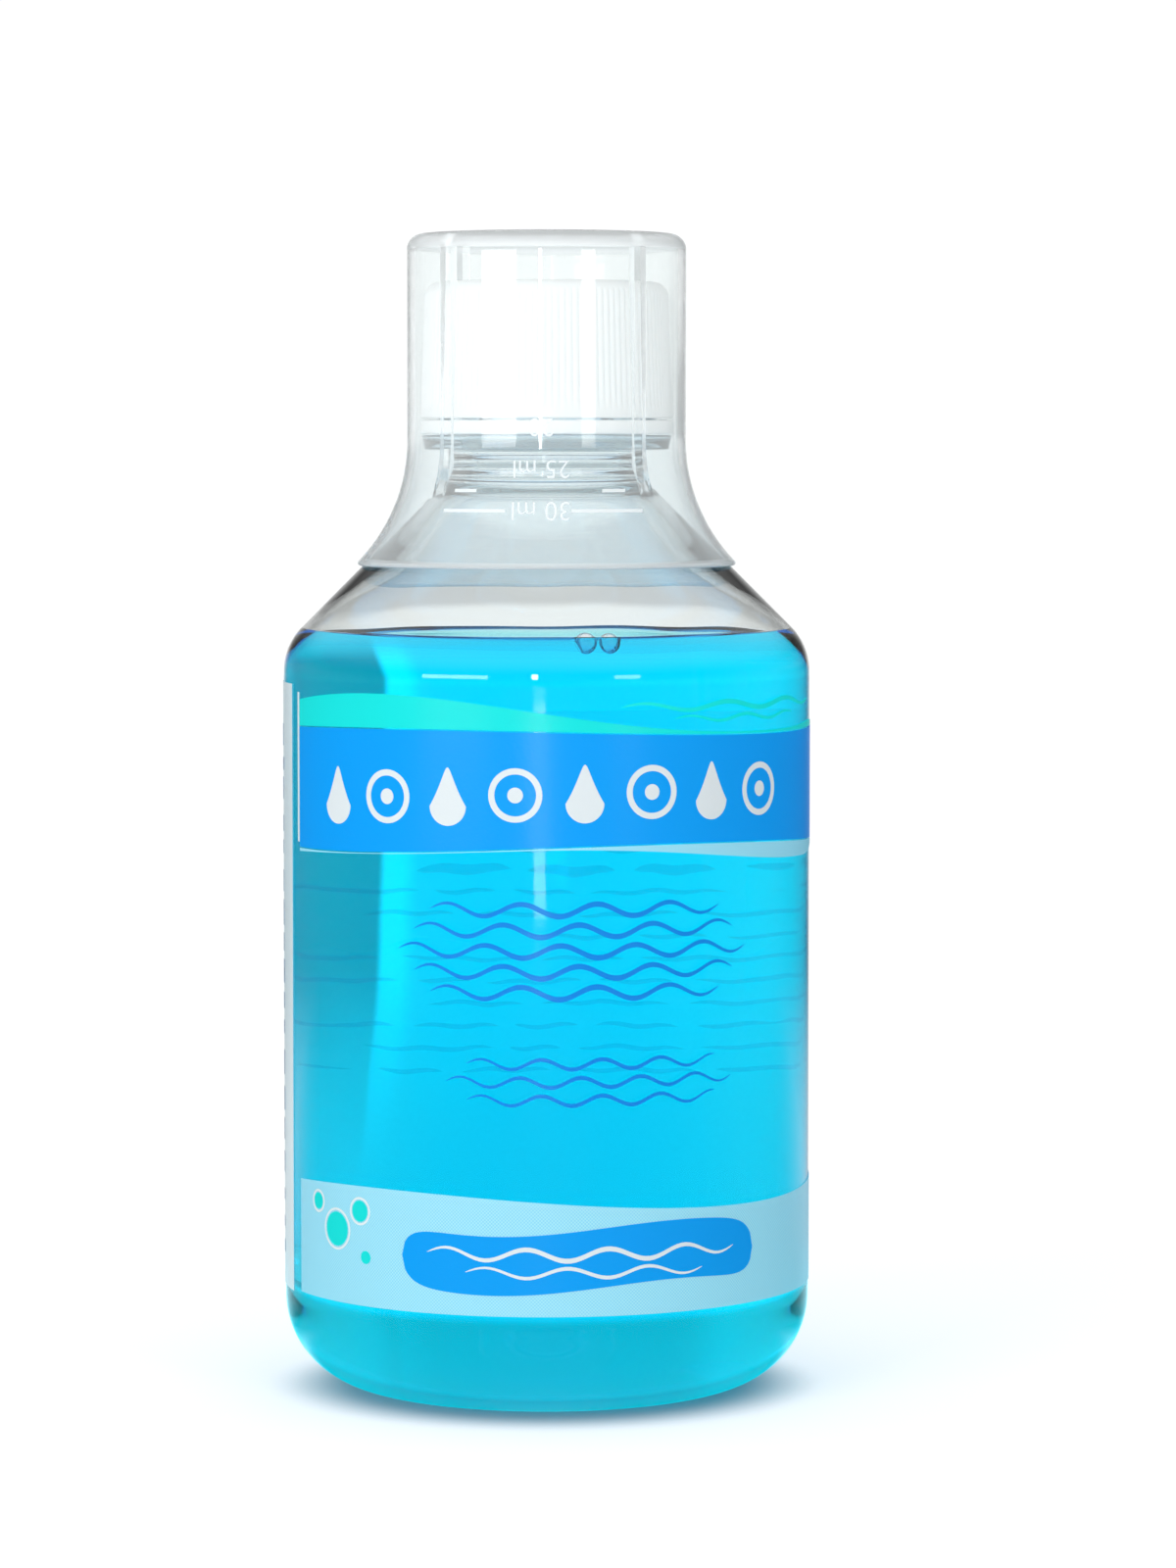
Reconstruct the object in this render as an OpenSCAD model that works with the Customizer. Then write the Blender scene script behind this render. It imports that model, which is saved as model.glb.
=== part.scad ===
/* [Body] */
// Outside diameter of the blown body
body_d = 66; // [62:0.5:70]
// Height at which the body wall and the line of the shoulder would meet
shoulder_z = 93.3; // [88:0.1:98]
// Rise of the shoulder from level
shoulder_angle = 45; // [42:1:48]
// Radius of the corner from the body wall into the shoulder
shoulder_r = 7.6; // [5:0.2:9]
// Radius of the heel under the body wall
heel_r = 11.5; // [9:0.5:13]
// Wall of the blown body
body_wall = 0.7; // [0.5:0.05:0.9]

/* [Base] */
// Rise of the push-up in the middle of the base
punt_h = 4.5; // [3:0.25:6]
// Width of the flat ring that the bottle stands on
foot_w = 2; // [1:0.25:3]
// Radius from the flat ring into the push-up
foot_r = 2.5; // [1.5:0.25:3.5]

/* [Neck] */
// Outside diameter of the neck, which is also the root of its thread
neck_d = 24.9; // [24.4:0.1:25.6]
// Bore of the neck
bore_d = 21.7; // [20.5:0.1:22.3]
// Radius from the shoulder into the neck, outside
neck_fillet_r = 1.5; // [0.5:0.1:2.5]
// Radius from the shoulder into the bore, inside
throat_r = 2.5; // [1:0.25:4]
// Straight neck from the line of the shoulder to the support ring
neck_l = 3.9; // [3:0.1:5]
// Diameter of the support ring
ring_d = 31.3; // [30.5:0.1:31.7]
// Thickness of the support ring
ring_t = 1.8; // [1.4:0.1:2.4]
// Draft of the support ring's edge
ring_draft = 0.3; // [0.1:0.05:0.5]
// Height of the neck finish above the support ring
finish_h = 16.7; // [15:0.1:19]
// Diameter of the bead that keeps the tamper band down
bead_d = 27.8; // [27.2:0.1:27.9]
// Height of the bead's straight edge
bead_h = 0.8; // [0.5:0.1:1.2]
// Radius of the lip's two edges
lip_r = 0.4; // [0.2:0.05:0.6]

/* [Filling] */
// Height of the liquid's surface above the table
fill_z = 93.6; // [70:0.2:98]
// Film of air left between the liquid and the wall
fill_gap = 0.05; // [0.02:0.01:0.1]

/* [Label] */
// Height of the label's lower edge above the table
label_z = 12.6; // [11.5:0.1:16]
// Height of the film
label_h = 76.9; // [60:0.1:77]
// Thickness of the film
label_t = 0.12; // [0.08:0.01:0.2]
// Layer of glue behind the film
label_gap = 0.03; // [0.02:0.01:0.06]
// Direction of the label's seam, counted from the right hand side
seam_a = 201; // [150:1:250]
// Open strip between the two ends of the film, as an angle
seam_open_a = 2.5; // [1:0.5:6]

/* [Screw cap] */
// Diameter over the ribs at the cap's lower edge
cap_d = 31.6; // [31:0.1:32.2]
// Diameter that the cap loses from its lower edge to its top
cap_taper = 1.06; // [0.4:0.02:1.4]
// Radius of the corner round the cap's top
cap_corner_r = 2; // [1:0.1:2.6]
// Thickness of the cap's top
cap_top_t = 1.35; // [1:0.05:1.8]
// Bore of the cap, which is the root of its thread
cap_bore_d = 28.3; // [28:0.1:28.6]
// Ribs round the cap
cap_ribs = 120; // [60:12:120]
// Depth of the grooves between the ribs
rib_depth = 0.3; // [0.15:0.05:0.4]
// Width of a groove at the cap's skin
groove_w = 0.5; // [0.3:0.05:0.6]
// Plain edge of the cap below the ribs
cap_hem = 1.4; // [0.8:0.1:2]
// Break of the cap's sharp edges
cap_edge = 0.25; // [0.1:0.05:0.4]
// Thickness of the sealing liner
liner_t = 1; // [0.6:0.1:1.5]
// Clearance between the liner's edge and the cap's bore
liner_side_gap = 0.25; // [0.1:0.05:0.4]
// Air at each flat face of the liner
seat_gap = 0.02; // [0.01:0.01:0.05]

/* [Tamper band] */
// Height of the tamper band
band_h = 1.7; // [1.5:0.1:2.4]
// Air under the band, over the support ring
band_gap = 0.12; // [0.08:0.02:0.2]
// Slit between the band and the cap
slit = 0.25; // [0.15:0.05:0.4]
// Wall of the band above its lip
band_wall = 1.5; // [1.3:0.1:1.7]
// How far the band's lip reaches in under the bead
band_grip = 0.6; // [0.4:0.05:0.9]
// Clearance between the lip's upper face and the bead
lip_gap = 0.12; // [0.08:0.02:0.2]

/* [Dosing cup] */
// Outside diameter of the cup's straight part
cup_d = 35; // [34.8:0.1:36]
// Diameter over the cup's rim
rim_d = 47.3; // [44:0.1:49]
// Radius of the flare towards the rim, seen from the side
flare_r = 21.9; // [19:0.1:26]
// Wall of the cup
cup_wall = 0.95; // [0.8:0.05:1.1]
// Thickness of the cup's rim
rim_t = 0.7; // [0.5:0.05:0.9]
// Thickness of the cup's floor, which is on top here
floor_t = 1.1; // [0.8:0.1:1.5]
// Radius round the cup's floor
cup_corner_r = 2; // [1.2:0.1:3]
// Room between the cap's top and the cup's floor
cup_headroom = 4.9; // [4.5:0.1:7]
// Air between the rim and the shoulder that it sits on
rim_gap = 0.12; // [0.08:0.02:0.3]
// Ribs inside the cup that grip the cap
grip_ribs = 4; // [3:1:6]
// Width of a gripping rib
grip_w = 1.5; // [1:0.1:2]
// Clearance between a gripping rib and the cap's ribs
grip_gap = 0.08; // [0.05:0.01:0.12]
// How far the gripping ribs reach below the support ring
grip_reach = 2.2; // [1:0.1:3]
// Length of the run-out at a gripping rib's end
grip_runout = 3; // [2:0.1:4]
// How far the cup stands turned on the cap
cup_turn = -2.2; // [-10:0.2:10]

/* [Hidden] */
$fn = 96;

// Pieces of an arc in an outline, and overrun of a cut or a root
arc_steps = 10;
overrun = 0.2;

// Body and base
body_r = body_d / 2;
foot_out_r = body_r - heel_r;
foot_in_r = foot_out_r - foot_w;
// Circle of the push-up, tangent to the round that leads into it from the flat ring
punt_r = (foot_in_r * foot_in_r + punt_h * punt_h) / (2 * punt_h) - foot_r;
punt_c_z = punt_h - punt_r;
punt_a = atan2(punt_r + foot_r - punt_h, foot_in_r);
// Centre height of the shoulder's corner, and distance of the shoulder's line from the origin
shoulder_c_z = shoulder_z - shoulder_r * tan((90 - shoulder_angle) / 2);
shoulder_k = body_r * sin(shoulder_angle) + shoulder_z * cos(shoulder_angle);

// Neck, from the shoulder up
neck_r = neck_d / 2;
bore_r = bore_d / 2;
ring_r = ring_d / 2;
bead_r = bead_d / 2;
neck_z = shoulder_z + (body_r - neck_r) * tan(shoulder_angle);
ring_z = neck_z + neck_l;
ring_top_z = ring_z + ring_t;
finish_z = ring_top_z + finish_h;
ring_edge = ring_t / 6;

// Closure, from the support ring up
band_z = ring_top_z + band_gap;
band_top_z = band_z + band_h;
band_lip_z = band_z + band_h / 2;
bead_z = band_lip_z + lip_gap;
cap_z = band_top_z + slit;
liner_z = finish_z + seat_gap;
cap_ceiling_z = liner_z + liner_t + seat_gap;
cap_top_z = cap_ceiling_z + cap_top_t;
cap_r = cap_d / 2;
cap_top_r = cap_r - cap_taper / 2;
cap_bore_r = cap_bore_d / 2;
cap_draft_a = atan2(cap_taper / 2, cap_top_z - cap_z);
groove_z = cap_z + cap_hem;
groove_l = cap_top_z - cap_corner_r - groove_z;
liner_r = cap_bore_r - liner_side_gap;

// Cup, inverted: the floor is above the cap and the rim sits on the shoulder
cup_r = cup_d / 2;
rim_r = rim_d / 2;
cup_in_r = cup_r - cup_wall;
flare_a = acos(1 - (rim_r - cup_r) / flare_r);
floor_z = cap_top_z + cup_headroom;
cup_top_z = floor_z + floor_t;
// Inside of the flare, before the cup is set down, with the height of its start as zero
flare_in = [for (i = [0:arc_steps]) flare_point(flare_a * i / arc_steps, flare_wall(i / arc_steps))];
rim_end = arc(flare_point(flare_a, rim_t / 2), rim_t / 2, flare_a + 180, flare_a + 360, arc_steps);
// Height at which the flare starts when the rim is one gap above the shoulder
flare_z = max([for (p = concat(flare_in, rim_end)) shoulder_height(p[0], -rim_gap) - p[1]]);
// Height of the gripping ribs' free ends and of the tips of their run-outs
grip_end_z = ring_z - grip_reach;
grip_tip_z = grip_end_z - grip_runout;

// Points of an arc about a centre, from one angle to another, without its first point if from is 1
function arc(c, r, a0, a1, n, from = 0) =
    [for (i = [from:n]) let (a = a0 + (a1 - a0) * i / n) [c[0] + r * cos(a), c[1] + r * sin(a)]];

// The same points in the other order
function reversed(p) = [for (i = [len(p) - 1:-1:0]) p[i]];

// Height of the shoulder's line over a radius, at a depth below its skin
function shoulder_height(r, depth) = (shoulder_k - depth - r * sin(shoulder_angle)) / cos(shoulder_angle);

// Line of the bottle's skin at a depth below it, from the middle of the base to the shoulder's corner
function side_line(depth) = concat(
    arc([0, punt_c_z], punt_r + depth, 90, punt_a, arc_steps),
    arc([foot_in_r, foot_r], foot_r - depth, punt_a + 180, 270, arc_steps, 1),
    arc([foot_out_r, heel_r], heel_r - depth, 270, 360, arc_steps),
    arc([body_r - shoulder_r, shoulder_c_z], shoulder_r - depth, 0, 90 - shoulder_angle, arc_steps)
);

// Concave round from the shoulder's line, at a depth below its skin, into an upright wall of radius r
function throat(r, f, depth) =
    arc([r + f, shoulder_height(r + f, depth - f)], f, 270 - shoulder_angle, 180, arc_steps);

// A point of the flare at an angle round it and at a depth below its outer skin
function flare_point(a, depth) =
    [cup_r + flare_r - (flare_r + depth) * cos(a), -(flare_r + depth) * sin(a)];

// Wall of the flare at a share of its angle
function flare_wall(share) = cup_wall + (rim_t - cup_wall) * share;

// Points moved up by a height
function raised(p, h) = [for (q = p) [q[0], q[1] + h]];

// Radius of the cap's ribs at a height, which the gripping ribs follow
function cap_skin_r(z) = cap_r - (cap_taper / 2) * (z - cap_z) / (cap_top_z - cap_z);

// Support ring, tamper bead and lip, from the neck up and in to the bore
finish_line = concat(
    [
        [neck_r, ring_z],
        [ring_r - ring_draft - ring_edge, ring_z],
        [ring_r - ring_draft, ring_z + ring_edge],
        [ring_r, ring_top_z - ring_edge],
        [ring_r - ring_edge, ring_top_z],
        [neck_r, ring_top_z],
        [neck_r, bead_z],
        [bead_r, bead_z],
        [bead_r, bead_z + bead_h],
        [neck_r, bead_z + bead_h + bead_r - neck_r]
    ],
    arc([neck_r - lip_r, finish_z - lip_r], lip_r, 0, 90, arc_steps),
    arc([bore_r + lip_r, finish_z - lip_r], lip_r, 90, 180, arc_steps)
);

bottle_line = concat(
    side_line(0),
    throat(neck_r, neck_fillet_r, 0),
    finish_line,
    reversed(throat(bore_r, throat_r, body_wall)),
    reversed(side_line(body_wall))
);

cup_line = concat(
    [[0, cup_top_z]],
    arc([cup_r - cup_corner_r, cup_top_z - cup_corner_r], cup_corner_r, 90, 0, arc_steps),
    raised([for (i = [0:arc_steps]) flare_point(flare_a * i / arc_steps, 0)], flare_z),
    raised(reversed([for (i = [1:arc_steps - 1]) rim_end[i]]), flare_z),
    raised(reversed(flare_in), flare_z),
    arc([cup_r - cup_corner_r, floor_z - cup_corner_r + cup_wall], cup_corner_r - cup_wall, 0, 90, arc_steps),
    [[0, floor_z]]
);

// Blown bottle: body, shoulder, neck with its support ring and tamper bead, and the pushed-up base
module bottle() {
    color([0.86, 0.93, 0.96, 0.35])
        rotate_extrude()
            polygon(bottle_line);
}

// The liquid, in the form of the bottle's cavity up to the filling height
module mouthwash_liquid() {
    depth = body_wall + fill_gap;
    color([0, 0.72, 0.9, 0.75])
        intersection() {
            rotate_extrude()
                polygon(concat(side_line(depth), [[0, shoulder_height(0, depth)]]));
            cylinder(r = body_r, h = fill_z);
        }
}

// Printed film round the body, with a narrow open seam
module wrap_label() {
    color([0, 0.57, 1])
        rotate([0, 0, seam_a])
            rotate_extrude(angle = 360 - seam_open_a)
                translate([body_r + label_gap, label_z])
                    square([label_t, label_h]);
}

// One groove between two ribs, cut along the cap's draft
module cap_groove() {
    translate([cap_skin_r(groove_z), 0, groove_z])
        rotate([0, -cap_draft_a, 0])
            linear_extrude(groove_l)
                polygon([
                    [-rib_depth, 0],
                    [overrun, groove_w * (rib_depth + overrun) / rib_depth / 2],
                    [overrun, -groove_w * (rib_depth + overrun) / rib_depth / 2]
                ]);
}

// Screw cap: a ribbed skirt with a rounded top, bored for the neck
module screw_cap() {
    color([0.96, 0.97, 0.98])
        difference() {
            rotate_extrude()
                polygon(concat(
                    [[0, cap_z], [cap_r - cap_edge, cap_z], [cap_r, cap_z + cap_edge]],
                    arc([cap_top_r - cap_corner_r, cap_top_z - cap_corner_r], cap_corner_r, 0, 90, arc_steps),
                    [[0, cap_top_z]]
                ));
            translate([0, 0, cap_z - overrun])
                cylinder(r = cap_bore_r, h = cap_ceiling_z - cap_z + overrun);
            for (i = [0:cap_ribs - 1])
                rotate([0, 0, 360 * i / cap_ribs])
                    cap_groove();
        }
}

// Disc of foam between the neck's lip and the cap
module cap_liner() {
    color([0.9, 0.9, 0.86])
        translate([0, 0, liner_z])
            cylinder(r = liner_r, h = liner_t);
}

// Tamper band: its lip hooks in under the bead, so it stays on the neck when the cap comes off
module tamper_band() {
    lip_r_in = bead_r - band_grip;
    color([0.94, 0.96, 0.97])
        rotate_extrude()
            polygon([
                [lip_r_in + cap_edge, band_z],
                [cap_r, band_z],
                [cap_r, band_top_z],
                [cap_r - band_wall, band_top_z],
                [cap_r - band_wall, band_lip_z],
                [lip_r_in, band_lip_z],
                [lip_r_in, band_z + cap_edge]
            ]);
}

// One gripping rib, along the cup's wall from its floor to its run-out in the flare
module grip_rib() {
    grip_top_r = cap_skin_r(cap_top_z) + grip_gap;
    grip_low_r = cap_skin_r(cap_z) + grip_gap;
    tip_drop = flare_z - grip_tip_z;
    tip_r = cup_r + flare_r - sqrt(flare_r * flare_r - tip_drop * tip_drop) - cup_wall + overrun;
    rotate([90, 0, 0])
        translate([0, 0, -grip_w / 2])
            linear_extrude(grip_w)
                polygon([
                    [grip_top_r, floor_z + overrun],
                    [grip_top_r, cap_top_z],
                    [grip_low_r, cap_z],
                    [grip_low_r, grip_end_z],
                    [tip_r, grip_tip_z],
                    [cup_in_r + overrun, flare_z],
                    [cup_in_r + overrun, floor_z - cup_corner_r],
                    [cup_in_r - cup_corner_r / 2, floor_z + overrun]
                ]);
}

// Dosing cup, upside down over the cap, with its flared rim on the shoulder
module dosing_cup() {
    color([0.93, 0.95, 0.93, 0.4])
        rotate([0, 0, cup_turn])
            union() {
                rotate_extrude()
                    polygon(cup_line);
                for (i = [0:grip_ribs - 1])
                    rotate([0, 0, 360 * (i + 1 / 2) / grip_ribs])
                        grip_rib();
            }
}

bottle();
mouthwash_liquid();
wrap_label();
screw_cap();
cap_liner();
tamper_band();
dosing_cup();
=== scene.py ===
"""Looks of a mouthwash bottle with its dosing cup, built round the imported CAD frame.

Every new piece is worked out in millimetres on numpy grids, about the bottle's axis: +Z is up, -Y is the
front of the label and +X is to the right of someone who faces it. Meshes are made in metres.
"""
import logging
import math
from collections.abc import Callable, Iterator
from dataclasses import dataclass
from enum import Enum

import bpy
import numpy as np
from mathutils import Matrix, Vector


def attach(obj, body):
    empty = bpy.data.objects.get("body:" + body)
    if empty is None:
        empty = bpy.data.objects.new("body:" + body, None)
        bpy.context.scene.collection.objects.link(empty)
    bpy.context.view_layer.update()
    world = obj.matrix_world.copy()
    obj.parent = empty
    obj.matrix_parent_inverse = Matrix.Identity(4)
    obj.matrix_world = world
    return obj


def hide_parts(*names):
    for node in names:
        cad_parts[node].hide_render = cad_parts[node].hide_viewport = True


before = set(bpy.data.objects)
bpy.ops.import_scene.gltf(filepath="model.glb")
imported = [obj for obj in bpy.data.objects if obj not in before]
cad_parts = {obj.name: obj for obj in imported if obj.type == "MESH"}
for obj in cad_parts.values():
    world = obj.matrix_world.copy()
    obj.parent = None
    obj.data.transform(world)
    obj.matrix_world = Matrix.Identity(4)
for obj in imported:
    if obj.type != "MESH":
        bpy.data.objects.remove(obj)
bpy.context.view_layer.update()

Tree, Node, Socket, Material = bpy.types.NodeTree, bpy.types.Node, bpy.types.NodeSocket, bpy.types.Material
Array = np.ndarray
Pair = tuple[float, float]
Wave = tuple[float, float, float]
Ramp = tuple[float, float, float, float]
Rows = tuple[tuple[float, ...], ...]

log = logging.getLogger("mouthwash_bottle")
MM = 0.001
FULL_TURN = 2 * math.pi
QUARTER_TURN = math.pi / 2
AROUND = 288  # columns of a round surface
# Sizes that several pieces share, in millimetres: the label's middle and ends, the screw thread and the cap's ends
LABEL_RADIUS = 33.09
LABEL_LOW, LABEL_HIGH = 12.6, 89.5
THREAD_LEAD = 4.233
THREAD_TURNS = 1.5
THREAD_MIDDLE = 127.6
THREAD_CREST = 0.8
CAP_LOW, CAP_HIGH = 121.62, 138.64
# Settings of nodes that are used often
STEP = {"interpolation_type": "SMOOTHSTEP"}
TIMES, PLUS, MOST = {"operation": "MULTIPLY"}, {"operation": "ADD"}, {"operation": "MAXIMUM"}
TURN_OF, SIZE_OF = {"operation": "ARCTAN2"}, {"operation": "ABSOLUTE"}
SOFT_WHITE = (0.99, 1.0, 1.0, 1.0)


# ---- shapes ----

@dataclass
class Surface:
    """A mesh in the making: points in millimetres, and arrays of four-sided and three-sided faces."""
    points: Array
    faces: list[Array]

    @staticmethod
    def joined(parts: list["Surface"]) -> "Surface":
        """One surface of several, each keeping its own faces.

        Args:
            parts: the surfaces to put together.
        Returns:
            The surface that holds them all.
        """
        starts = np.cumsum([0] + [len(part.points) for part in parts])
        faces = [face + start for part, start in zip(parts, starts) for face in part.faces]
        return Surface(np.concatenate([part.points for part in parts]), faces)

    def piece(self, name: str, body: str, slot: str, material: Material, stands_for: tuple[str, ...] = (),
              crease: float = 38.0, others: tuple[tuple[Material, Callable[[Array], Array]], ...] = ()) -> None:
        """Puts the surface into the scene as one piece that rides on a CAD body.

        Args:
            name: the piece's name.
            body: the CAD body that carries it.
            slot: the record's material slot; not used.
            material: its finish.
            stands_for: CAD nodes that it takes the place of.
            crease: edges sharper than this many degrees stay sharp.
            others: further finishes, each with what tells from the faces' middles, in millimetres, which faces
                take it.
        """
        mesh = bpy.data.meshes.new(name)
        faces = [face for block in self.faces for face in block.tolist()]
        mesh.from_pydata((self.points * MM).tolist(), [], faces)
        mesh.update()
        mesh.shade_smooth()
        mesh.set_sharp_from_angle(angle=math.radians(crease))
        mesh.materials.append(material)
        middles, chosen = np.empty(len(mesh.polygons) * 3), np.zeros(len(mesh.polygons), np.int32)
        mesh.polygons.foreach_get("center", middles)
        for number, (other, where) in enumerate(others, 1):
            mesh.materials.append(other)
            chosen[where(middles.reshape(-1, 3) / MM)] = number
        mesh.polygons.foreach_set("material_index", chosen)
        made = bpy.data.objects.new(name, mesh)
        bpy.context.scene.collection.objects.link(made)
        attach(made, body)
        if stands_for:
            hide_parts(*stands_for)
        triangles = sum(len(face) - 2 for face in faces)
        log.info("%s: %d points, %d triangles, on %s", name, len(self.points), triangles, body)


def grid(index: Array, around: bool = False, loop: bool = False) -> Array:
    """Four-sided faces of a grid of point numbers.

    Args:
        index: point numbers, rows by columns.
        around: the last column joins the first.
        loop: the last row joins the first.
    Returns:
        One face per cell, in the order (row, column), (row, next), (next row, next), (next row, column).
    """
    right = np.roll(index, -1, axis=1)
    up, up_right = np.roll(index, -1, axis=0), np.roll(right, -1, axis=0)
    cells = np.stack([index, right, up_right, up], axis=-1)
    cells = cells if around else cells[:, :-1]
    cells = cells if loop else cells[:-1]
    return cells.reshape(-1, 4)


def arc(centre: Pair, radius: float, start: float, end: float, pieces: int) -> Array:
    """Points of an arc: centre + radius * (cos a, sin a), with a from start to end in equal steps.

    Args:
        centre: its centre in the plane of a profile.
        radius: its radius.
        start: first angle in degrees.
        end: last angle in degrees.
        pieces: how many chords it has.
    Returns:
        An array of pieces + 1 points.
    """
    a = np.radians(np.linspace(start, end, pieces + 1))
    return np.column_stack([centre[0] + radius * np.cos(a), centre[1] + radius * np.sin(a)])


def finely(line: Array, step: float) -> Array:
    """The same profile with extra points, so that no stretch is much longer than step.

    Args:
        line: points of the profile.
        step: the longest stretch, in millimetres.
    Returns:
        The profile with its own points kept, read off by length along it.
    """
    line = line[np.append(True, np.linalg.norm(np.diff(line, axis=0), axis=1) > 1e-6)]
    run = np.append(0.0, np.cumsum(np.linalg.norm(np.diff(line, axis=0), axis=1)))
    marks = np.arange(0, run[-1], step)
    clear = np.abs(marks[:, None] - run[None, :]).min(axis=1) > 0.4 * step
    marks = np.sort(np.concatenate([run, marks[clear]]))
    return np.column_stack([np.interp(marks, run, line[:, 0]), np.interp(marks, run, line[:, 1])])


def smooth_step(x: Array) -> Array:
    """Zero below 0, one above 1, and 3x^2 - 2x^3 between."""
    x = np.clip(x, 0, 1)
    return x * x * (3 - 2 * x)


def turned(r: Array, a: Array, z: Array) -> Array:
    """Points at a radius, an angle about the axis and a height: (r cos a, r sin a, z)."""
    return np.stack(np.broadcast_arrays(r * np.cos(a), r * np.sin(a), z), axis=-1)


def revolve(line: Array, angles: Array, loop: bool = False, outward: Array | float = 0,
            upward: Array | float = 0) -> Surface:
    """Surface of revolution: (r cos a, r sin a, z), with (r, z) along the profile and a round the axis.

    The material lies to the left of the profile's direction of travel, so faces point to its right.

    Args:
        line: the profile; its ends lie on the axis, or it is a loop.
        angles: the angles of the columns, in radians, over one turn.
        loop: the profile's end joins its start.
        outward: what to add to r, rows by columns.
        upward: what to add to z, rows by columns.
    Returns:
        A closed surface; a row on the axis is a single point.
    """
    columns = len(angles)
    r, z = line[:, :1] + outward, line[:, 1:] + upward
    pole = (line[:, 0] < 1e-6) & (not loop)
    counts = np.where(pole, 1, columns)
    starts = np.append(0, np.cumsum(counts))[:-1]
    index = starts[:, None] + np.where(pole[:, None], 0, np.arange(columns)[None, :])
    keep = ~pole[:, None] | (np.arange(columns)[None, :] == 0)
    cells = grid(index, around=True, loop=loop)
    low, high = cells[:, 0] == cells[:, 1], cells[:, 2] == cells[:, 3]
    faces = [cells[~low & ~high], cells[low][:, [0, 2, 3]], cells[high][:, :3]]
    return Surface(turned(r, angles, z)[keep], faces)


def full_circle(columns: int = AROUND) -> Array:
    """Angles of evenly spaced columns over one turn."""
    return np.arange(columns) * FULL_TURN / columns


def slab(face: Array, back: Array, around: bool = False) -> Surface:
    """A thin closed block between two grids of points.

    Args:
        face: points of its face, rows by columns by three.
        back: points of its back, in the same order.
        around: the last column joins the first, as on a ring.
    Returns:
        The block, closed at its edges.
    """
    front = np.arange(face.size // 3).reshape(face.shape[:2])
    rear = front + front.size
    faces = [grid(front, around), grid(rear, around)[:, ::-1],
             grid(np.stack([front[-1], rear[-1]]), around), grid(np.stack([rear[0], front[0]]), around)]
    if not around:
        faces += [grid(np.stack([rear[:, 0], front[:, 0]]))[:, ::-1],
                  grid(np.stack([front[:, -1], rear[:, -1]]))[:, ::-1]]
    return Surface(np.concatenate([face, back]).reshape(-1, 3), faces)


def shell_on_cylinder(s: Array, z: Array, inner: float, outer: float, around: bool = False) -> Surface:
    """A thin closed shell that lies on the body: a flat grid wrapped on a cylinder and given a thickness.

    The grid's point (s, z) goes to angle s / R - 90 degrees, so s is millimetres to the right of the front.

    Args:
        s: distance round the body, rows by columns.
        z: height, rows by columns.
        inner: radius of its back.
        outer: radius of its face.
        around: the last column joins the first, as on a ring.
    Returns:
        The shell, closed at its edges.
    """
    a = s / LABEL_RADIUS - QUARTER_TURN
    return slab(turned(outer, a, z), turned(inner, a, z), around)


def thread_ridge(angle: Array, z: Array, start_z: float, height: float, root: float) -> Array:
    """Height of the screw thread's ridge, as a right-handed helix that rises one lead per turn.

    At an angle a past the start, the ridge's middle is at start_z + lead * a / turn. Its height falls from
    the crest's half width to the root's, and fades in and out over an eighth of a turn at its ends.

    Args:
        angle: angles of the columns.
        z: heights of the rows, as a column.
        start_z: height of the ridge's middle where it starts, at the front.
        height: full height of the ridge.
        root: width at its root.
    Returns:
        The ridge's height, rows by columns.
    """
    ridge = np.zeros((z.shape[0], angle.shape[0]))
    for turn in range(math.ceil(THREAD_TURNS)):
        run = (angle + QUARTER_TURN) % FULL_TURN + FULL_TURN * turn
        away = np.abs(z - (start_z + THREAD_LEAD * run / FULL_TURN))
        side = np.clip((root / 2 - away) / ((root - THREAD_CREST) / 2), 0, 1)
        ends = np.clip(np.minimum(run, THREAD_TURNS * FULL_TURN - run) / (FULL_TURN / 8), 0, 1)
        ridge = np.maximum(ridge, height * smooth_step(side) * smooth_step(ends))
    return ridge


# ---- finishes ----

def linear(code: str) -> tuple[float, float, float, float]:
    """Linear colour of an sRGB hex value: c / 12.92 below 0.04045, else ((c + 0.055) / 1.055) ** 2.4."""
    parts = [int(code[i:i + 2], 16) / 255 for i in (1, 3, 5)]
    red, green, blue = [c / 12.92 if c <= 0.04045 else ((c + 0.055) / 1.055) ** 2.4 for c in parts]
    return red, green, blue, 1.0


def add(tree: Tree, kind: str, inputs: dict | tuple = (), **settings) -> Node:
    """Adds a node with its settings and inputs.

    Args:
        tree: the node tree.
        kind: the node's type, without the ShaderNode prefix.
        inputs: values, sockets or nodes (whose first output is meant), in order or by name or number.
        settings: its own properties.
    Returns:
        The node.
    """
    node = tree.nodes.new("ShaderNode" + kind)
    for name, value in settings.items():
        setattr(node, name, value)
    for key, value in (inputs if isinstance(inputs, dict) else dict(enumerate(inputs))).items():
        value = value.outputs[0] if isinstance(value, Node) else value
        if isinstance(value, Socket):
            tree.links.new(value, node.inputs[key])
        else:
            node.inputs[key].default_value = value
    return node


def new_material(name: str, ends: Callable[[Tree], dict]) -> Material:
    """Makes a material of nodes.

    Args:
        name: its name.
        ends: adds the nodes to the tree that it is given, and gives what the output takes.
    Returns:
        The material.
    """
    made = bpy.data.materials.new(name)
    made.use_nodes = True
    made.node_tree.nodes.clear()
    add(made.node_tree, "OutputMaterial", ends(made.node_tree))
    return made


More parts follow.
